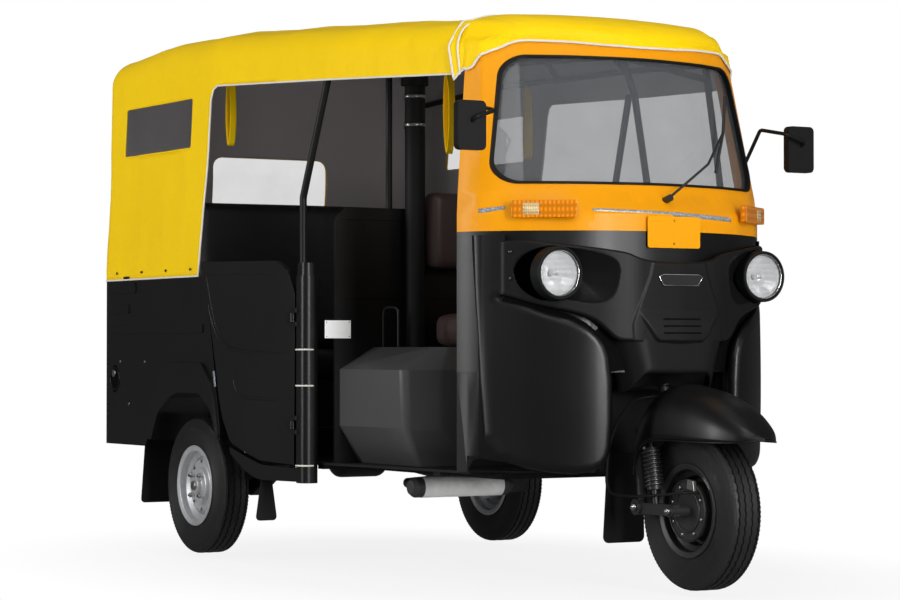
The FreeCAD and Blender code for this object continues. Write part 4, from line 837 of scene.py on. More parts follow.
def simulateCushion(piece):
    # a few frames of pressure let the cover tighten over the padding; moves stay small
    start = [v.co.copy() for v in piece.data.vertices]
    cloth = addModifier(piece, "CLOTH")
    cloth.settings.use_pressure = True
    cloth.settings.uniform_pressure_force = 3
    cloth.settings.effector_weights.gravity = 0
    cloth.settings.quality = 4
    scene = bpy.context.scene
    scene.frame_start, scene.frame_end = 1, 14
    for step in range(1, 15):
        scene.frame_set(step)
    applyModifiers(piece)
    scene.frame_set(1)
    for vert, old in zip(piece.data.vertices, start):
        move = vert.co - old
        vert.co = old + move * min(1, 0.006 / max(move.length, 1e-9))


def addSeams(piece, channels, low, high):
    # sewn channels press a narrow furrow into the crowned face; the cover stays inside its padding's box
    middle, half = (low + high) / 2, (high - low) / 2
    seam = min(range(3), key=lambda axis: half[axis])
    others = [i for i in range(3) if i != seam]
    wide, other = max(others, key=lambda i: half[i]), min(others, key=lambda i: half[i])
    for vert in piece.data.vertices:
        p = vert.co - middle
        press = max([math.exp(-((p[wide] - line * half[wide]) / 0.009) ** 2) for line in channels] + [0])
        border = max(abs(p[wide]) - half[wide], abs(p[other]) - half[other]) + 0.045
        press = max(press, 0.7 * math.exp(-(border / 0.007) ** 2))
        p[seam] *= 1 - 0.11 * press
        vert.co = middle + p
        for axis in range(3):
            vert.co[axis] = min(max(vert.co[axis], low[axis] + 0.0003), high[axis] - 0.0003)


for name, look in cushionValues.items():
    makeCushion(name, look)


# Smoothed copies of the solid model's panels, with fine rounded edges
def surfaceAt(name, start, way):
    # where a straight line meets a node, and which way its face looks
    # where a straight line meets a node, and which way its face looks
    hit, normal = treeOf(name).ray_cast(Vector(start), Vector(way))[:2]
    if hit is None:
        raise RuntimeError("nothing of %s lies on the line from %s" % (name, tuple(start)))
    return hit, normal


def onFront(name, x, z):
    return surfaceAt(name, (x / 1000, -2.5, z / 1000), (0, 1, 0))


def onSide(name, y, z, side=-1):
    return surfaceAt(name, (side * 1.5, (y + axlePlace) / 1000, z / 1000), (-side, 0, 0))


def fits(node, y, z, side):
    try:
        onSide(node, y, z, side)
    except RuntimeError:
        return False
    return True


# finish, bevel in metres, and the angle from which an edge is rounded
dressValues = {
    "front_cowl": ("blackPaint", 0.0025, 34), "cab_surround": ("orangePaint", 0.003, 34),
    "windscreen_seal": ("rubber", 0.006, 34), "engine_cover": ("coverPlastic", 0.007, 30),
    "door_right": ("blackPaint", 0.003, 30), "door_left": ("blackPaint", 0.003, 30),
    "tub_side_right": ("blackPaint", 0.002, 30), "tub_side_left": ("blackPaint", 0.002, 30),
    "tub_rear": ("blackPaint", 0.002, 30), "wheel_arches": ("blackPaint", 0.001, 40),
    "partition": ("blackPaint", 0.002, 30), "mirrors": ("greyPlastic", 0.003, 30),
    "front_plate": ("platePaint", 0.0008, 30), "front_indicators": ("amberLens", 0.002, 30),
    "corner_posts": ("blackPaint", 0.002, 40)}


def dressNode(name, finish, bevel, angle):
    bm = bmesh.new()
    bm.from_mesh(nodes[name].data)
    bmesh.ops.remove_doubles(bm, verts=bm.verts[:], dist=2e-6)
    bmesh.ops.dissolve_limit(bm, angle_limit=math.radians(0.5), verts=bm.verts[:], edges=bm.edges[:])
    limit = math.radians(angle)
    for edge in bm.edges:
        edge.smooth = len(edge.link_faces) == 2 and edge.calc_face_angle(0) < limit
    body = name if name.startswith("door") else "chassis"
    piece = addPiece(name + "Skin", meshOf(bm, name + "Skin"), finish, body)
    addModifier(piece, "BEVEL", width=bevel, segments=3, limit_method="ANGLE", angle_limit=limit,
                harden_normals=True, use_clamp_overlap=True)
    applyModifiers(piece)
    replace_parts(piece, name)
    return piece


skins = {name: dressNode(name, *look) for name, look in dressValues.items()}
print("smoothed skins:", sum(len(skin.data.polygons) for skin in skins.values()), "faces")


# Tyres with zigzag grooves and cut shoulders
tyreValues = {"steps": 216, "zigzag": 1.9, "waves": 54, "cut": 3.2, "lug": 0.34, "grooves": (34, 12)}
treads = {"frontTread": ("front_tyre", "frontTyre", "front_wheel"),
          "rearRightTread": ("rear_right_tyre", "rearRightTyre", "rear_wheel_right"),
          "rearLeftTread": ("rear_left_tyre", "rearLeftTyre", "rear_wheel_left")}


def makeTread(name, node, finish, body):
    low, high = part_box(node)
    middle = (low + high) / 2
    r, w = [((high - low)[i] / 2 - 0.0002) * 1000 for i in (2, 0)]
    line = [(43, 127.5), (48, 133), (48.6, 145), (w - 3, 160), (w - 1, 178), (w - 0.2, r - 52),
            (w - 1.2, r - 40), (w - 1, r - 38), (w - 2, r - 26), (w - 4.5, r - 16), (w - 7, r - 8),
            (w - 10, r - 3.5), (w - 13, r - 2)]
    for place in tyreValues["grooves"]:
        line += [(place + 3, r - 0.6), (place + 1.8, r - 7), (place - 1.8, r - 7), (place - 3, r - 0.2)]
    line += [(0, r)] + [(-a, b) for a, b in reversed(line)]
    bm = bmesh.new()
    verts = [bm.verts.new((a / 1000, 0, b / 1000)) for a, b in line]
    for first, second in zip(verts, verts[1:] + verts[:1]):
        bm.edges.new((first, second))
    spinRound(bm, (1, 0, 0), tyreValues["steps"])
    for vert in bm.verts:
        reach = math.hypot(vert.co.y, vert.co.z) * 1000
        wave = math.atan2(vert.co.z, vert.co.y) / (2 * math.pi) * tyreValues["waves"]
        if reach > r - 8 and abs(vert.co.x) * 1000 < 38:
            vert.co.x += tyreValues["zigzag"] / 1000 * (abs((wave % 1) - 0.5) * 4 - 1)
        shoulder = w - 11 < abs(vert.co.x) * 1000 < w - 1.5 and r - 30 < reach < r - 3
        if shoulder and (wave * 2) % 1 < tyreValues["lug"]:
            share = tyreValues["cut"] / reach
            vert.co.y *= 1 - share
            vert.co.z *= 1 - share
            vert.co.x *= 0.985
    bmesh.ops.recalc_face_normals(bm, faces=bm.faces[:])
    for vert in bm.verts:
        vert.co += middle
    for edge in bm.edges:
        edge.smooth = edge.calc_face_angle(0) < math.radians(38)
    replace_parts(addPiece(name, meshOf(bm, name), finish, body), node)


for name, look in treads.items():
    makeTread(name, *look)
print("tyres have their treads")


# Moulded front panels: the mask with its eyes and lip, and the leg shields.
# Millimetres across, back and up
maskValues = {
    "top": ((0, 985), (91, 987), (138, 996), (173, 1012), (251, 1025), (374, 1041), (452, 1050), (490, 1046)),
    "low": ((0, 736), (100, 738), (150, 744), (205, 746), (229, 768), (251, 796), (284, 818), (329, 833),
            (417, 856), (490, 887)),
    "plan": ((0, 103), (100, 108), (160, 114), (230, 142), (330, 200), (430, 264), (500, 352)),
    "eye": ((469, 967), (460, 996), (427, 1022), (379, 1031), (307, 1022), (251, 1008), (214, 991),
            (200, 965), (204, 931), (213, 892), (233, 867), (257, 858), (296, 860), (329, 868), (385, 881),
            (440, 903), (464, 932)),
    "panel": ((96, 996), (108, 944), (129, 893), (154, 833), (166, 794), (161, 726)),
    "lip": ((152, 838), (138, 812), (96, 752), (80, 741)),
    "end": 490, "columns": 300, "rows": 84, "floor": 262, "least": 16, "slope": 1.2, "hole": 84,
    "holePlace": (380, 948), "raised": 3, "proud": 12, "lipTop": 836, "lipFade": 80, "blur": 26, "roll": 9,
    "rollDepth": 9, "return": 0.022}
shieldValues = {
    "left": ((346, -325), (354, -400), (372, -452), (398, -490), (440, -514), (628, -524), (870, -531),
             (1068, -535)),
    "right": ((346, -325), (352, -280), (366, -250), (390, -232), (421, -223), (502, -218), (627, -220),
              (700, -228), (735, -240), (760, -257), (787, -287), (812, -330), (838, -397), (860, -447),
              (874, -484), (1068, -478)),
    "plan": ((-545, 441), (-528, 409), (-500, 368), (-430, 275), (-360, 207), (-300, 164), (-250, 142),
             (-210, 133)),
    "foot": 346, "head": 1066, "bow": 560, "rollTop": 905, "bulge": 7, "rows": 130, "columns": 64, "blur": 22,
    "roll": 30, "rollDepth": 26, "sideRoll": 12, "sideDepth": 8, "channel": 17, "start": (-221, 650)}
noseValues = {
    "low": ((0, 645), (0.6, 648), (0.7, 642), (0.8, 624), (0.9, 600), (1, 586)), "top": 752,
    "half": ((586, 158), (660, 176), (752, 206)), "columns": 90, "rows": 24, "roll": 14, "rollDepth": 10,
    "plan": ((0, 104), (0.5, 104), (0.64, 107), (0.78, 122), (0.93, 154), (1, 200))}
# The front mudguard's stations from its beak to its foot: crown place and height, skirt place and height,
# half width
guardValues = {
    "stations": ((-328, 463, -326, 458, 14), (-300, 487, -300, 451, 50), (-267, 512, -262, 449, 76),
                 (-195, 554, -185, 448, 103), (-97, 591, -95, 449, 115), (0, 610, -5, 450, 117),
                 (54, 615, 45, 450, 117), (110, 606, 90, 445, 117), (152, 580, 124, 436, 117),
                 (190, 538, 150, 424, 115), (222, 478, 176, 400, 111), (243, 412, 196, 368, 103),
                 (252, 345, 208, 338, 96)),
    "along": 110, "across": 48, "square": 2.5, "wall": 0.003, "hem": 0.0024}
slotValues = {"heights": (770, 791, 812), "half": 68, "high": 4.6}


def linearAt(pairs, x):
    if x <= pairs[0][0]:
        return pairs[0][1]
    for (x0, y0), (x1, y1) in zip(pairs, pairs[1:]):
        if x <= x1:
            return y0 + (y1 - y0) * (x - x0) / (x1 - x0)
    return pairs[-1][1]


def softAt(pairs, x, blur):
    # the line through the pairs, its corners rounded over the blur
    return sum(linearAt(pairs, x + blur * step) for step in (-1, -0.5, 0, 0.5, 1)) / 5


def rounded(points, times=2):
    # cuts the corners of a closed outline
    for turn in range(times):
        points = [(a[0] * p + b[0] * (1 - p), a[1] * p + b[1] * (1 - p))
                  for a, b in zip(points, points[1:] + points[:1]) for p in (0.75, 0.25)]
    return points


def rollOff(reach, width, depth):
    # how far a rounded edge falls back, by the distance from it
    return depth * (1 - math.sqrt(1 - clamp(1 - reach / width) ** 2))


def maskDepth(x, z, eye, panel, lip):
    v = maskValues
    x = abs(x)
    y = softAt(v["plan"], x, v["blur"])
    within = reachInside(eye, x, z)
    if within > 0:
        target = max(v["floor"] - y, v["least"])
        y += target * (1 - math.exp(-v["slope"] * within / target)) + 3 * clamp(within / 3)
    y -= v["raised"] * clamp(reachInside(panel, x, z) / 3)
    fade = math.sin(math.pi / 2 * clamp((v["lipTop"] - z) / v["lipFade"]))
    return y - v["proud"] * clamp(reachInside(lip, x, z) / 6) * fade


def cutHole(bm, heart, radius):
    # takes a round hole out of a sheet that faces the front, its rim drawn to the circle
    for vert in bm.verts:
        flat = Vector((vert.co.x - heart.x, 0, vert.co.z - heart.z))
        if abs(flat.length - radius) < 0.0022:
            spread = flat.normalized() * radius
            vert.co.x, vert.co.z = heart.x + spread.x, heart.z + spread.z
    gone = []
    for face in bm.faces:
        middle = face.calc_center_median()
        if math.hypot(middle.x - heart.x, middle.z - heart.z) < radius:
            gone.append(face)
    bmesh.ops.delete(bm, geom=gone, context="FACES")


def gridPiece(name, rows, finish, back, hole=None):
    # a sheet from rows of points in metres, its border turned back and its wall given thickness
    bm = sheetOf(rows)
    if hole:
        for side, word in bothSides:
            cutHole(bm, Vector((hole[0] * side, 0, hole[1])), hole[2])
    bmesh.ops.remove_doubles(bm, verts=bm.verts[:], dist=1e-5)
    lookToward(bm, (0, -1, 0))
    border = [edge for edge in bm.edges if len(edge.link_faces) == 1]
    grown = bmesh.ops.extrude_edge_only(bm, edges=border)
    moved = [item for item in grown["geom"] if isinstance(item, bmesh.types.BMVert)]
    bmesh.ops.translate(bm, vec=(0, back, 0), verts=moved)
    bmesh.ops.recalc_face_normals(bm, faces=bm.faces[:])
    for edge in bm.edges:
        edge.smooth = edge.calc_face_angle(0) < math.radians(50)
    piece = addPiece(name, meshOf(bm, name), finish)
    addModifier(piece, "SOLIDIFY", thickness=0.002, offset=-1, use_even_offset=False)
    applyModifiers(piece)
    return piece


def makeMask():
    v = maskValues
    eye = rounded(list(v["eye"]))
    panel, lip = [list(v[name]) + [(-x, z) for x, z in v[name][::-1]] for name in ("panel", "lip")]
    rows = []
    for i in range(v["columns"] + 1):
        x = v["end"] * (2 * i / v["columns"] - 1)
        low, high = softAt(v["low"], abs(x), 14), softAt(v["top"], abs(x), 14)
        row = []
        for j in range(v["rows"] + 1):
            z = low + (high - low) * j / v["rows"]
            reach = min(z - low, high - z, (v["end"] - abs(x)) * 1.2)
            depth = v["rollDepth"] * (0.3 if abs(x) < 165 and z < 800 else 1)
            y = maskDepth(x, z, eye, panel, lip) + rollOff(reach, v["roll"], depth)
            row.append(spot(x, y, z))
        rows.append(row)
    hole = [value / 1000 for value in (*v["holePlace"], v["hole"])]
    piece = gridPiece("maskMoulding", rows, "greyPlastic", v["return"], hole)
    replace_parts(piece, "headlamp_mask")
    trees["headlamp_mask"] = treeFrom(piece.data)


def shieldPoint(x, z):
    v = shieldValues
    edge = [(b, a) for a, b in v["left"][:5][::-1]] + [(b, a) for a, b in v["right"][1:-1]]
    y = softAt(v["plan"], x, v["blur"]) - v["bulge"] * math.sin(math.pi * clamp((z - v["foot"]) / v["bow"]))
    if z < v["rollTop"]:
        reach = min(distanceTo(first, second, x, z) for first, second in zip(edge, edge[1:]))
        y += rollOff(reach, v["roll"], v["rollDepth"])
    return y + rollOff(x - linearAt(v["left"], z), v["sideRoll"], v["sideDepth"])


def makeShield(side, word):
    # the right one is drawn; the left is its mirror image
    v = shieldValues
    rows = []
    for j in range(v["rows"] + 1):
        z = v["foot"] + 0.5 + (v["head"] - v["foot"] - 0.5) * (j / v["rows"]) ** 1.25
        left, right = softAt(v["left"], z, 5), softAt(v["right"], z, 5)
        row = []
        for i in range(v["columns"] + 1):
            x = left + (right - left) * (0.5 - 0.5 * math.cos(math.pi * i / v["columns"]))
            row.append(spot(-side * x, shieldPoint(x, z), z))
        rows.append(row)
    gridPiece("legShield" + word, rows, "blackPaint", 0.012)


def makeChannel(side, word):
    # a near-black sheet laid just over the cowl round a leg shield's inner corner: painted shade for the gap
    # there
    v = shieldValues
    rows = []
    line = [v["start"]] + [(x, z) for z, x in v["right"] if 655 < z < 1000]
    for (x0, z0), (x1, z1) in zip(line, line[1:]):
        out = Vector((z1 - z0, 0, x0 - x1)).normalized()
        for part in range(6):
            x, z = x0 + (x1 - x0) * part / 6, z0 + (z1 - z0) * part / 6
            widest = max(-150 - x, v["channel"]) if z < 762 else v["channel"]
            row = []
            for k in range(5):
                reach = -12 + (widest + 12) * k / 4
                hit, normal = onFront("front_cowl", x + out.x * reach, z + out.z * reach)
                row.append(Vector((-side * hit.x, hit.y - 0.0015, hit.z)))
            rows.append(row)
    bm = sheetOf(rows)
    lookToward(bm, (0, -1, 0))
    addPiece("shieldGap" + word, meshOf(bm, "shieldGap" + word), "deepBlack")


def makeNose():
    # the smooth nose under the mask, over the steering head
    v = noseValues
    rows = []
    for i in range(v["columns"] + 1):
        u = 2 * i / v["columns"] - 1
        low = softAt(v["low"], abs(u), 0.03)
        row = []
        for j in range(v["rows"] + 1):
            z = low + (v["top"] - low) * j / v["rows"]
            y = softAt(v["plan"], abs(u), 0.06) + rollOff(z - low, v["roll"], v["rollDepth"])
            row.append(spot(u * linearAt(v["half"], z), y, z))
        rows.append(row)
    gridPiece("noseMoulding", rows, "greyPlastic", 0.012)


def cutEyes():
    # opens the cowl behind each eye, where the lamps go in
    skin = skins["front_cowl"]
    eye = [(350 + (x - 350) * 0.93, 945 + (z - 945) * 0.93) for x, z in rounded(list(maskValues["eye"]))]
    for side, word in bothSides:
        bm = bmesh.new()
        near, far = [[bm.verts.new(spot(side * x, y, z)) for x, z in eye] for y in (120, 400)]
        bm.faces.new(near)
        bm.faces.new(far[::-1])
        for i in range(len(eye)):
            k = (i + 1) % len(eye)
            bm.faces.new((near[k], near[i], far[i], far[k]))
        bmesh.ops.recalc_face_normals(bm, faces=bm.faces[:])
        tool = bpy.data.objects.new("eyeTool", meshOf(bm, "eyeTool"))
        bpy.context.scene.collection.objects.link(tool)
        addModifier(skin, "BOOLEAN", operation="DIFFERENCE", object=tool, solver="EXACT")
        applyModifiers(skin)
        bpy.data.objects.remove(tool)


def makeGuard():
    v = guardValues
    stations = [Vector(station) for station in v["stations"]]
    rows = []
    for i in range(v["along"] + 1):
        share = i / v["along"] * (len(stations) - 1)
        k = min(int(share), len(stations) - 2)
        crownPlace, crownHeight, skirtPlace, skirtHeight, half = between(stations, k, share - k)
        row = []
        for j in range(v["across"] + 1):
            turn = math.pi * (j / v["across"] - 0.5)
            x = half * math.copysign(abs(math.sin(turn)) ** (2 / v["square"]), turn)
            rise = abs(math.cos(turn)) ** (2 / v["square"])
            row.append(spot(x, skirtPlace + (crownPlace - skirtPlace) * rise,
                            skirtHeight + (crownHeight - skirtHeight) * rise))
        rows.append(row)
    bm = sheetOf(rows)
    lookToward(bm, (0, 0, 1))
    piece = addPiece("frontGuard", meshOf(bm, "frontGuard"), "blackPaint", "steering")
    addModifier(piece, "SOLIDIFY", thickness=v["wall"], offset=-1, use_even_offset=False)
    applyModifiers(piece)
    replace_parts(piece, "front_mudguard")
    edge = [row[0] for row in rows[::2]] + [row[-1] for row in rows[::-2]]
    addTube("guardHem", edge, v["hem"], "blackPaint", "steering", closed=True, rings=2)


makeMask()
cutEyes()
makeNose()
makeGuard()
for side, word in bothSides:
    makeShield(side, word)
    makeChannel(side, word)
print("the moulded front panels are on")


# Small shapes used by the details
def standOn(bm, heart, way):
    # moves a shape made upright at the origin to a place, facing the given way
    turn = Vector(way).to_track_quat("Z", "Y").to_matrix().to_4x4()
    bmesh.ops.transform(bm, matrix=Matrix.Translation(heart) @ turn, verts=bm.verts[:])


def addDisc(name, heart, way, radius, depth, finish, body="chassis", segments=24, dome=0.25):
    # a turned head, such as a screw, stud or cap, standing on a surface
    bm = bmesh.new()
    bmesh.ops.create_cone(bm, cap_ends=True, segments=segments, radius1=radius, radius2=radius, depth=depth)
    rim = [e for f in bm.faces if f.normal.z > 0.9 for e in f.edges]
    bmesh.ops.bevel(bm, geom=rim, offset=min(radius, depth) * 0.3, affect="EDGES", segments=3, profile=0.5,
                    material=-1)
    for vert in bm.verts:
        vert.co.z += depth * 0.3
        if vert.co.z > depth * 0.5:
            vert.co.z += dome * depth * (1 - math.hypot(vert.co.x, vert.co.y) / radius)
    standOn(bm, heart, way)
    return addPiece(name, meshOf(bm, name), finish, body)


def addPlate(name, corners, way, depth, finish, body="chassis", bevel=0.0006):
    # a flat plate with rounded edges, from its corner points and the way it faces
    bm = bmesh.new()
    face = bm.faces.new([bm.verts.new(c) for c in corners])
    grown = bmesh.ops.extrude_face_region(bm, geom=[face])
    moved = [v for v in grown["geom"] if isinstance(v, bmesh.types.BMVert)]
    bmesh.ops.translate(bm, vec=Vector(way).normalized() * depth, verts=moved)
    bmesh.ops.recalc_face_normals(bm, faces=bm.faces[:])
    bmesh.ops.bevel(bm, geom=bm.edges[:], offset=bevel, affect="EDGES", segments=2, profile=0.5, material=-1)
    return addPiece(name, meshOf(bm, name), finish, body, smooth=False)


def addRing(name, heart, way, radius, bar, finish, body="chassis", flat=1.0):
    # a round hoop; flat stretches its bar along the hoop's axis
    bm = bmesh.new()
    bmesh.ops.create_circle(bm, segments=10, radius=bar)
    bmesh.ops.rotate(bm, cent=(0, 0, 0), matrix=Matrix.Rotation(math.pi / 2, 3, "X"), verts=bm.verts[:])
    for vert in bm.verts:
        vert.co.z *= flat
        vert.co.x += radius
    spinRound(bm, (0, 0, 1), 48)
    bmesh.ops.recalc_face_normals(bm, faces=bm.faces[:])
    standOn(bm, heart, way)
    return addPiece(name, meshOf(bm, name), finish, body)


def addTape(name, points, width, finish, up=(0, 0, 1), lift=0.0004):
    # a flat strip laid on a surface: points come with their normals
    across = Vector(up).normalized() * width / 2
    middles = [point + normal * lift for point, normal in points]
    bm = sheetOf([[middle + across, middle - across] for middle in middles])
    lookToward(bm, points[0][1])
    piece = addPiece(name, meshOf(bm, name), finish)
    addModifier(piece, "SOLIDIFY", thickness=0.0006, offset=1)
    applyModifiers(piece)
    return piece


# Headlamps: a faceted dish, a lamp and a dark rim
lampValues = {"place": (380, 190, 948), "facets": 22,
              "dish": ((10, 52), (22, 46), (36, 36), (50, 23), (60, 13), (66, 9), (66, 6))}


def makeHeadlamps():
    x, y, z = lampValues["place"]
    for side, word in bothSides:
        heart = spot(side * x, y, z)
        bm = bmesh.new()
        verts = [bm.verts.new((a / 1000, b / 1000, 0)) for a, b in lampValues["dish"]]
        for first, second in zip(verts, verts[1:]):
            bm.edges.new((first, second))
        spinRound(bm, (0, 1, 0), lampValues["facets"])
        bmesh.ops.recalc_face_normals(bm, faces=bm.faces[:])
        for vert in bm.verts:
            vert.co += heart
        for face in bm.faces:
            if face.normal.y > 0:
                face.normal_flip()
        dish = addPiece("lampDish" + word, meshOf(bm, "lampDish" + word), "dishSilver", smooth=False)
        addModifier(dish, "SOLIDIFY", thickness=0.0008, offset=-1)
        applyModifiers(dish)
        for name, back, radius, depth, finish, slot, dome in (
                ("lampBulb", 0.040, 0.0085, 0.026, "bulbGlass", "lamp_glass", 0.2),
                ("lampCap", 0.022, 0.009, 0.006, "chrome", "bright_bowl", 0.25)):
            addDisc(name + word, heart + Vector((0, back, 0)), (0, -1, 0), radius, depth, finish,
                    dome=dome)
        for name, back, radius, bar, finish, slot in (
                ("lampRim", -0.0035, 0.0755, 0.0042, "rubber", "black_rubber"),
                ("lampTrim", -0.0025, 0.0685, 0.0016, "chrome", "bright_bowl")):
            addRing(name + word, heart + Vector((0, back, 0)), (0, 1, 0), radius, bar, finish)


makeHeadlamps()


# Mask: end screws, a blank badge with its thin bright frame, and the three slots of the lip, drawn as
# near-black plates for the shade inside them
badgeValues = {"half": 80, "high": 33, "place": 930, "frame": 0.0016, "depth": 0.0022}


def makeMaskDetails():
    for side, word in bothSides:
        for number, z in enumerate((1014, 934)):
            hit, normal = onFront("headlamp_mask", side * 473, z)
            addDisc("maskScrew%s%d" % (word, number), hit, normal, 0.0065, 0.004, "rubber", dome=0.5)
            addDisc("maskScrewHead%s%d" % (word, number), hit + normal * 0.0024, normal, 0.0032, 0.0022,
                    "chrome")
    a, b, z = badgeValues["half"], badgeValues["high"] / 2, badgeValues["place"]
    shape = ((-a, b * 0.55), (-a + 14, b), (a - 14, b), (a, b * 0.55), (a - 16, -b), (-a + 16, -b))
    front = min(onFront("headlamp_mask", x, z + dz)[0].y for x, dz in ((0, 0), (-60, 10), (60, -10)))
    corners = [Vector((x / 1000, front + 0.001, (z + dz) / 1000)) for x, dz in shape]
    depth = badgeValues["depth"]
    addPlate("badgeBlank", corners, (0, -1, 0), depth, "badgeDark", bevel=0.0008)
    edge = [c + Vector((0, -depth, 0)) for c in corners]
    addTube("badgeFrame", edge, badgeValues["frame"], "chrome", closed=True)
    half, high = slotValues["half"], slotValues["high"] / 2
    # each slot is a thin near-black plate on the lip: painted shade for its opening
    for number, z in enumerate(slotValues["heights"]):
        front = min(onFront("headlamp_mask", x, z)[0].y for x in (-half, 0, half))
        corners = [Vector((x / 1000, front - 0.0002, (z + dz) / 1000))
                   for x, dz in ((-half, -high), (half, -high), (half, high), (-half, high))]
        addPlate("lipSlotShade%d" % number, corners, (0, -1, 0), 0.0012, "deepBlack", bevel=0.0003)
    # near-black panels behind the lamps, inside the nose, as painted shade there
    for side, word in bothSides:
        corners = [spot(side * x, 412, z) for x, z in ((215, 852), (518, 852), (518, 1050), (215, 1050))]
        addPlate("lampPanel" + word, corners, (0, -1, 0), 0.002, "deepBlack")


makeMaskDetails()


# Surround: reflective tape and the indicators' clear sections
def makeSurroundDetails():
    for side, word in bothSides:
        points = [onFront("cab_surround", side * (470 + 8 * i), 1147 - 1.1 * i) for i in range(8)]
        addTape("tapeEnd" + word, points, 0.013, "reflectiveTape")
    points = [onFront("cab_surround", -252 + 9.3 * i, 1139 - 0.30 * i) for i in range(56)]
    addTape("tapeMiddle", points, 0.013, "reflectiveTape")
    for side, word in bothSides:
        points = [onFront("front_indicators", side * (448 - 8 * i), 1143) for i in range(6)]
        addTape("indicatorClear" + word, points, 0.036, "clearAmber", lift=0.0003)


makeSurroundDetails()


# Posts: raised rings round each corner post, near white as a painted highlight along their ridges
bandValues = {"heights": (720, 601, 338), "bar": 0.0028, "post": 0.0316}
for side, word in bothSides:
    for number, z in enumerate(bandValues["heights"]):
        addRing("postBandHighlight%s%d" % (word, number), spot(side * 632, 1335, z), (0, 0, 1), bandValues["post"],
                bandValues["bar"], "whiteBinding")


# Doors: pressed swage lines, which fade out at their ends
swageValues = {
    "Upper": ((1953, 935), (1936, 870), (1913, 815), (1880, 768), (1840, 742), (1780, 722), (1690, 713),
              (1570, 709), (1447, 706)),
    "Lower": ((1777, 623), (1764, 592), (1742, 570), (1705, 559), (1640, 555), (1560, 553), (1495, 552))}
swellValues = {"radius": 0.0055, "points": 40, "ends": 0.12}


def addSwage(name, points, side, node):
    line = [Vector((0, y, z)) for y, z in points]
    places = [smoothLine(line, step / swellValues["points"]) for step in range(swellValues["points"] + 1)]
    spots = [onSide(node, p.y, p.z, side)[0] for p in places if fits(node, p.y, p.z, side)]
    curve, spline = lineCurve(name, spots, swellValues["radius"], caps=False)
    least = swellValues["ends"]
    for step, item in enumerate(spline.points):
        item.radius = least + (1 - least) * math.sin(math.pi * step / (len(spots) - 1)) ** 0.6
    mesh = meshOfCurve(curve)
    # pressed flat, so that it swells only a little from the door
    for vert in mesh.vertices:
        near = min(spots, key=lambda q: (q - vert.co).length)
        vert.co.x = near.x + (vert.co.x - near.x) * 0.5
    addPiece(name, mesh, "blackPaint", node)


for side, word in bothSides:
    for height, points in swageValues.items():
        addSwage("swage" + height + word, points, side, "door_" + word.lower())
print("lamps, mask, surround and doors have their details")


# Small fittings on the sides. Millimetres back from the axle and up
sideValues = {"reflector": ((1893, 592), (1899, 619), (1905, 646)), "studs": (2085, 2290, 2500, 2720),
              "screws": ((2700, 676), (2480, 676), (2620, 520)), "filler": (2748, 612)}


def makeSideFittings():
    for side, word in bothSides:
        door, tub = "door_" + word.lower(), "tub_side_" + word.lower()
        # a slim bright reflector ahead of the arch
        points = []
        for y, z in sideValues["reflector"]:
            onDoor = fits(door, y - 12, z, side)
            points.append(onSide(door, y - 12, z, side) if onDoor else onSide(tub, y, z, side))
        addTape("sideReflector" + word, points, 0.014, "reflectiveTape", (0, 1, -0.12))
        # hem studs of the canopy
        for number, y in enumerate(sideValues["studs"]):
            addDisc("hemStud%s%d" % (word, number), spot(side * 697.6, y, 1003), (side, 0, 0), 0.005, 0.0025,
                    "rubber", dome=0.6)
        # screws along the tub
        for number, (y, z) in enumerate(sideValues["screws"], 1):
            hit, normal = onSide(tub, y, z, side)
            addDisc("tubScrew%s%d" % (word, number), hit, normal, 0.006, 0.003, "steel")


def makeFiller():
    # the filler opening on the right side, a flat near-black disc as painted shade down its pipe, with its
    # bright cap
    hit, normal = onSide("tub_side_right", *sideValues["filler"])
    bm = bmesh.new()
    bmesh.ops.create_circle(bm, cap_ends=True, segments=40, radius=1)
    for vert in bm.verts:
        vert.co = Vector((0, vert.co.x * 0.034, vert.co.y * 0.052)) + hit + Vector((-0.0006, 0, 0))
    bmesh.ops.inset_region(bm, faces=bm.faces[:], thickness=0.006, depth=0.0)
    addPiece("fillerHoleShade", meshOf(bm, "fillerHoleShade"), "deepBlack", smooth=False)
    addRing("fillerLip", hit + Vector((-0.0004, 0, 0)), (1, 0, 0), 0.040, 0.0022, "blackPaint")
    addDisc("fillerCap", hit + Vector((-0.001, 0.004, 0.020)), (-1, 0, 0), 0.014, 0.006, "steel")


def makeLabel():
    # a blank plate riveted to the partition
    hit, normal = surfaceAt("partition", spot(-551, 900, 787), (0, 1, 0))
    y = hit.y - 0.0002
    left, right, low, high = -0.600, -0.503, 0.757, 0.816
    corners = [Vector((x, y, z)) for x, z in ((left, low), (right, low), (right, high), (left, high))]
    addPlate("blankLabel", corners, (0, -1, 0), 0.0012, "whiteEnamel")
    for number, (toRight, up) in enumerate(((1, 1), (-1, 1), (-1, -1), (1, -1))):
        place = corners[number] + Vector((0.006 * toRight, -0.0012, 0.006 * up))
        addDisc("labelRivet%d" % number, place, (0, -1, 0), 0.0022, 0.0012, "steel")


# The loop handle over the engine, with the clamps of the air pipe and the silencer's bright band
loopValues = {"line": ((1123, 729), (1123, 830), (1128, 851), (1145, 858), (1201, 858), (1218, 851),
                       (1223, 830), (1223, 729)), "across": -400, "bar": 0.005}
clampValues = {"across": -0.281, "heights": (1562, 1467)}
silencerValues = {"band": (-446, -444, -152, -150), "back": 900, "height": 280.7, "radius": 0.0338}


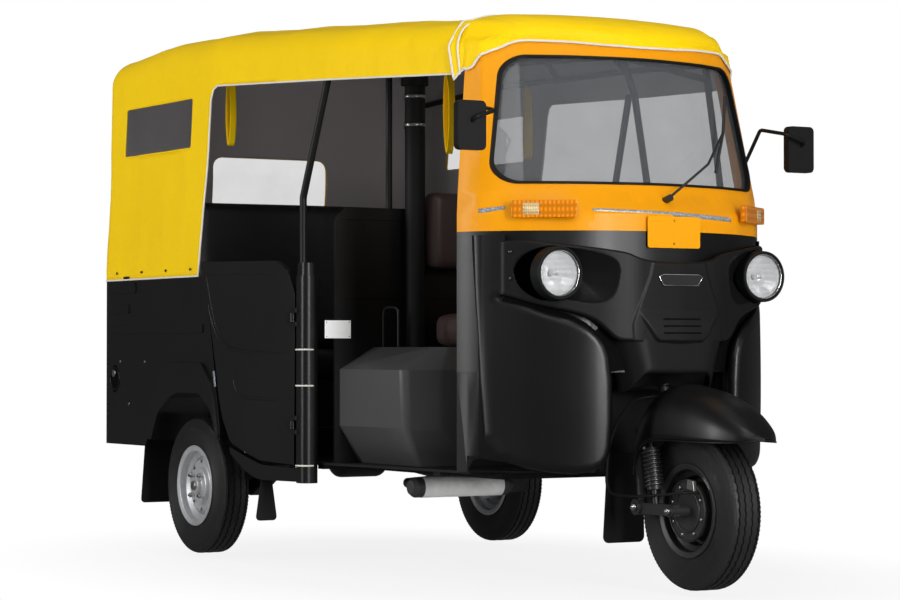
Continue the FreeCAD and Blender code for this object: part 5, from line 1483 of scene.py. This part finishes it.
def makeEngineFittings():
    line = [spot(loopValues["across"], y, z) for y, z in loopValues["line"]]
    addTube("engineLoop", line, loopValues["bar"], "innerPaint")
    x = clampValues["across"]
    for number, z in enumerate(clampValues["heights"]):
        hit, normal = surfaceAt("air_intake", (x, -1.5, z / 1000), (0, 1, 0))
        back, other = surfaceAt("air_intake", (x, 1.5, z / 1000), (0, -1, 0))
        heart = Vector((x, (hit.y + back.y) / 2, z / 1000))
        radius = (back.y - hit.y) / 2 + 0.0008
        addRing("pipeClamp%d" % number, heart, (0, 0, 1), radius, 0.0022, "steel", flat=2.6)
        addDisc("clampScrew%d" % number, hit + Vector((-0.006, -0.005, 0)), (1, 0, 0), 0.005, 0.018, "steel")
    band = [spot(x, silencerValues["back"], silencerValues["height"]) for x in silencerValues["band"]]
    addTube("silencerBand", band, silencerValues["radius"], "bandSilver", rings=10)


makeSideFittings()
makeFiller()
makeLabel()
makeEngineFittings()


# Brake hose, from the steering head round the damper's foot and along the torque rod to the hub
hoseValues = {
    "route": ((-16.4, 186, 577), (-62, 187, 577), (-100, 236, 560), (-128, 297, 450), (-128, 318, 325),
              (-128, 302, 284), (-126, 262, 276), (-125, 147, 276), (-114, -23, 292), (-113, -60, 296),
              (-76, -60, 296), (-50.3, -60, 296)),
    "radius": 0.0045, "length": 0.815}


def makeHose():
    route = [spot(*point) for point in hoseValues["route"]]
    curve, spline = lineCurve("brakeLine", route, hoseValues["radius"], kind="NURBS")
    spline.order_u = 3
    spline.use_endpoint_u = True
    curve.resolution_u = 12
    curve.materials.append(made["rubber"])
    hose = bpy.data.objects.new("brakeLine", curve)
    bpy.context.scene.collection.objects.link(hose)
    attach(hose, "steering")
    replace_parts(hose, "brake_hose")


makeHose()


# Fork: the coil spring over its damper, the brake plate's steps and bolts, and the nuts of axle and pivot
springValues = {"foot": (-95, 104, 306), "top": (-95, 122, 424), "turns": 9.5, "radius": 0.0255,
                "wire": 0.0039}
brakeValues = {"heart": (-50, 0, 239), "bolts": 8, "reach": 0.075}


def makeForkDetails():
    foot, top = spot(*springValues["foot"]), spot(*springValues["top"])
    across = Vector((1, 0, 0))
    other = (top - foot).normalized().cross(across)
    points = []
    count = round(springValues["turns"] * 20)
    for step in range(count + 1):
        turn = 2 * math.pi * springValues["turns"] * step / count
        out = (across * math.cos(turn) + other * math.sin(turn)) * springValues["radius"]
        points.append(foot + (top - foot) * (step / count) + out)
    addTube("forkSpring", points, springValues["wire"], "springSteel", "steering", rings=2)
    heart = spot(*brakeValues["heart"])
    for name, shift, radius, bar in (("brakeRim", -0.001, 0.090, 0.003),
                                     ("brakeStep", -0.0005, 0.062, 0.0045)):
        addRing(name, heart + Vector((shift, 0, 0)), (1, 0, 0), radius, bar, "wheelBlack", "steering")
    for number in range(brakeValues["bolts"]):
        turn = 2 * math.pi * (number + 0.4) / brakeValues["bolts"]
        place = heart + Vector((0, math.cos(turn), math.sin(turn))) * brakeValues["reach"]
        addDisc("brakeBolt%d" % number, place, (-1, 0, 0), 0.0062, 0.006, "steel", "steering", segments=6)
    for name, back, height, nut, end, finish in (("axle", 0, 239, 0.012, 0.0065, "steel"),
                                                 ("pivot", 176, 244, 0.013, 0.007, "chrome")):
        hit, normal = surfaceAt("front_fork", spot(-500, back, height), (1, 0, 0))
        addDisc(name + "Nut", hit, (-1, 0, 0), nut, 0.012, "steel", "steering", segments=6)
        addDisc(name + "End", hit + Vector((-0.006, 0, 0)), (-1, 0, 0), end, 0.010, finish, "steering")
    # bright adjuster bracket at the top of the brake plate
    corners = [spot(-51, y, z) for y, z in ((-52, 300), (-14, 306), (-18, 334), (-46, 330))]
    addPlate("adjuster", corners, (-1, 0, 0), 0.012, "steel", "steering")


makeForkDetails()


# Rear wheels: four nuts and a hub cap on each rim
def makeRimDetails():
    for side, word in ((-1, "right"), (1, "left")):
        body, node = "rear_wheel_" + word, "rear_%s_rim" % word
        way, inward = (side, 0, 0), (-side, 0, 0)
        middle = Vector((side * 1.5, spot(0, 2127, 0).y, 0.239))
        hit, normal = surfaceAt(node, middle, inward)
        addDisc("hubCap_" + word, hit, way, 0.017, 0.008, "steel", body, segments=32, dome=0.8)
        for number in range(4):
            turn = math.radians(45 + 90 * number)
            place = middle + Vector((0, math.cos(turn), math.sin(turn))) * 0.05
            hit, normal = surfaceAt(node, place, inward)
            addDisc("wheelNut%s%d" % (word, number), hit, way, 0.009, 0.009, "steel", body, segments=6)
            addDisc("wheelStud%s%d" % (word, number), hit + Vector((side * 0.005, 0, 0)), way, 0.0048, 0.008,
                    "castMetal", body)


makeRimDetails()
print("side fittings, fork and wheels are dressed")


# Floor, world and lamps
def makeFloor():
    bm = bmesh.new()
    bmesh.ops.create_grid(bm, x_segments=8, y_segments=8, size=30)
    for vert in bm.verts:
        vert.co.z = worldValues["floorPlace"]
    floor = bpy.data.objects.new("floor", meshOf(bm, "floor"))
    bpy.context.scene.collection.objects.link(floor)
    recipe = Recipe("floor")
    across, along, up = recipe.split(recipe.place(scale=(1, 0.62, 1)))
    reach = recipe.maths("SQRT", across * across + along * along)
    share = recipe.node("ShaderNodeMapRange", {}, {"Value": reach, "From Min": worldValues["fadeFrom"],
                                                   "From Max": worldValues["fadeTo"]})
    plain = recipe.node("ShaderNodeBsdfPrincipled", {}, {"Base Color": worldValues["floorColour"],
                                                         "Roughness": 0.3, "Specular IOR Level": 0.3})
    white, dim = [recipe.node("ShaderNodeEmission", {}, {"Color": (1, 1, 1, 1), "Strength": strength})
                  for strength in (1, worldValues["floorMirrored"])]
    seen, glossy = recipe.rays()
    fade = (share * (1 - worldValues["least"]) + worldValues["least"]) * seen
    shown = recipe.node("ShaderNodeMixShader", {}, {0: fade, 1: plain, 2: white})
    recipe.connect(recipe.node("ShaderNodeMixShader", {}, {0: glossy, 1: shown, 2: dim}))
    floor.data.materials.append(recipe.owner)


def makeWorld():
    recipe = Recipe("world", "worlds", "ShaderNodeOutputWorld")
    bpy.context.scene.world = recipe.owner
    white, soft, mirrored = [
        recipe.node("ShaderNodeBackground", {}, {"Color": (1, 1, 1, 1), "Strength": strength})
        for strength in (1, worldValues["fill"], worldValues["mirrored"])]
    seen, glossy = recipe.rays()
    light = recipe.node("ShaderNodeMixShader", {}, {0: glossy, 1: soft, 2: mirrored})
    recipe.connect(recipe.node("ShaderNodeMixShader", {}, {0: seen, 1: light, 2: white}))


def makeLamps():
    for name, look in lightValues.items():
        lamp = bpy.data.objects.new(name + "Lamp", bpy.data.lights.new(name, "AREA"))
        lamp.data.shape = "RECTANGLE"
        lamp.data.size, lamp.data.size_y = look["size"]
        lamp.data.energy = look["power"]
        lamp.location = look["place"]
        aim = Vector(worldValues["aim"]) - Vector(look["place"])
        lamp.rotation_euler = aim.to_track_quat("-Z", "Y").to_euler()
        bpy.context.scene.collection.objects.link(lamp)


makeFloor()
makeWorld()
makeLamps()
print("floor, world and lamps are set")
